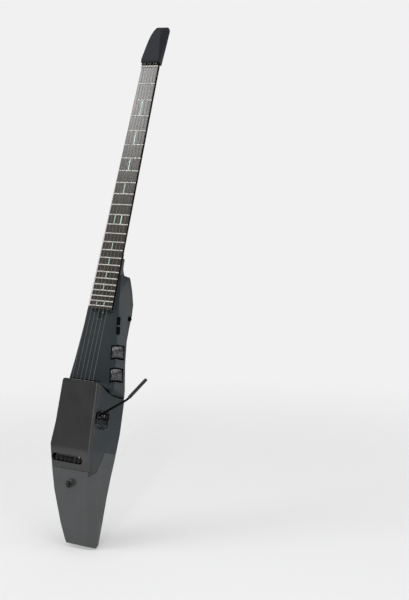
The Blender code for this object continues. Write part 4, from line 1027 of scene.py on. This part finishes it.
sleeve_rubber = moulded_finish("sleeve_rubber", (0.010, 0.010, 0.010), roughness=0.55)
sleeve_path = [arriving.lerp(ARM_TIP, share) for share, size in SLEEVE_SHAPE]
sleeve_radii = [SLEEVE_RADIUS * size for share, size in SLEEVE_SHAPE]
sleeve = swept(sleeve_path, sleeve_radii, sides=24)
place_piece("arm_sleeve", sleeve, sleeve_rubber, "arm", smooth_deg=60.0)


# The strap buttons are turned discs on a short neck, each held by a domed screw in its dished face. The one
# on the tail is black plastic, the one behind the horn is steel.
STRAP_HEIGHT = 0.0080
STRAP_HEAD = 0.0076
STRAP_NECK = 0.0045
STRAP_PROFILE = ((0.0003 - STRAP_HEIGHT, STRAP_NECK * 1.3), (0.0016 - STRAP_HEIGHT, STRAP_NECK),
                 (0.0040 - STRAP_HEIGHT, STRAP_NECK), (-0.0024, STRAP_HEAD - 0.0006), (-0.0019, STRAP_HEAD),
                 (-0.0008, STRAP_HEAD), (-0.0002, STRAP_HEAD - 0.0005), (0.0, STRAP_HEAD - 0.0012),
                 (-0.0004, STRAP_HEAD - 0.0019), (-0.0016, 0.0042), (-0.0018, 0.0030), (-0.0018, 0))
STRAP_SCREW_SINK = 0.0018
STRAP_PLACES = {"tail": (0.003, 0.00959, -0.82824), "horn": (0.0, 0.07493, -0.49392)}
STRAP_OUTWARD = {"tail": (0.0, -0.9351, -0.3544), "horn": (0.0, 0.9908, 0.1351)}

strap_black = moulded_finish("strap_black", (0.012, 0.012, 0.013), roughness=0.30)
for label, finish in (("tail", strap_black), ("horn", bright_steel)):
    top_frame = frame_at(STRAP_PLACES[label], STRAP_OUTWARD[label], (1, 0, 0))
    disc_shape = lathed(top_frame, STRAP_PROFILE, sides=64)
    disc = place_piece(f"strap_disc_{label}", disc_shape, finish, "housing")
    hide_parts(f"strap_button_{label}")
    dish = top_frame @ Matrix.Translation((0, 0, -STRAP_SCREW_SINK))
    screw = screw_head(bmesh.new(), dish, radius=0.0034, rise=0.0014, socket=0.35)
    place_piece(f"strap_screw_{label}", screw, black_steel, "housing")


# The breath jack is a black plastic collar pressed into the horn's outer side. A sprung steel contact stands
# inside its bore.
JACK_OUTWARD = (0.9471, -0.3065, 0.0949)
JACK_PLACE = (0.0544, 0.02744, -0.5015)
JACK_DEPTH = 0.0120
JACK_PROFILE = ((-JACK_DEPTH, 0.0044), (-0.0002, 0.0044), (0.0003, 0.0041), (0.0003, 0.0035),
                (-0.0004, 0.0031), (0.002 - JACK_DEPTH, 0.0031), (0.002 - JACK_DEPTH, 0))
CONTACT_OFFSET = 0.0017
CONTACT_PROFILE = ((-0.0098, 0.0006), (-0.0050, 0.0006), (-0.0044, 0.0003), (-0.0042, 0))

jack_frame = frame_at(JACK_PLACE, JACK_OUTWARD, (0, 0, 1))
jack = place_piece("jack_collar", lathed(jack_frame, JACK_PROFILE), key_black, "housing")
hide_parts("breath_jack")
contact = lathed(jack_frame @ Matrix.Translation((CONTACT_OFFSET, 0, 0)), CONTACT_PROFILE, sides=12)
place_piece("jack_contact", contact, bright_steel, "housing")


# The cable socket is a round shell of black plastic let into the tail's end, with seven gilt pins on a
# circle. A gap in the circle keys the plug.
SOCKET_PLACE = (0.0130, 0.0680, -0.9360)
SOCKET_DEPTH = 0.0140
SOCKET_PROFILE = ((-SOCKET_DEPTH, 0.0062), (-0.0005, 0.0062), (-0.0003, 0.0060), (-0.0003, 0.0053),
                  (-0.0008, 0.0050), (0.0025 - SOCKET_DEPTH, 0.0050), (0.0025 - SOCKET_DEPTH, 0))
PIN_CIRCLE = 0.0030
PIN_COUNT = 7
PIN_PROFILE = ((0.0023 - SOCKET_DEPTH, 0.0005), (-0.0042, 0.0005), (-0.0036, 0.0002), (-0.0036, 0))

socket_frame = frame_at(SOCKET_PLACE, (0, 0, -1), (1, 0, 0))
shell = lathed(socket_frame, SOCKET_PROFILE, sides=48)
socket = place_piece("socket_shell", shell, key_black, "housing")
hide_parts("cable_socket")
gilt = moulded_finish("gilt", (0.80, 0.60, 0.25), roughness=0.25, grain_mm=0.2, metallic=1.0, mottle=0.03)
pins = bmesh.new()
for index in range(PIN_COUNT):
    angle = math.tau * (index + 0.5) / (PIN_COUNT + 1)
    spot = socket_frame @ Matrix.Translation((PIN_CIRCLE * math.cos(angle), PIN_CIRCLE * math.sin(angle), 0))
    lathed(spot, PIN_PROFILE, sides=12, shape=pins)
place_piece("socket_pins", pins, gilt, "housing")
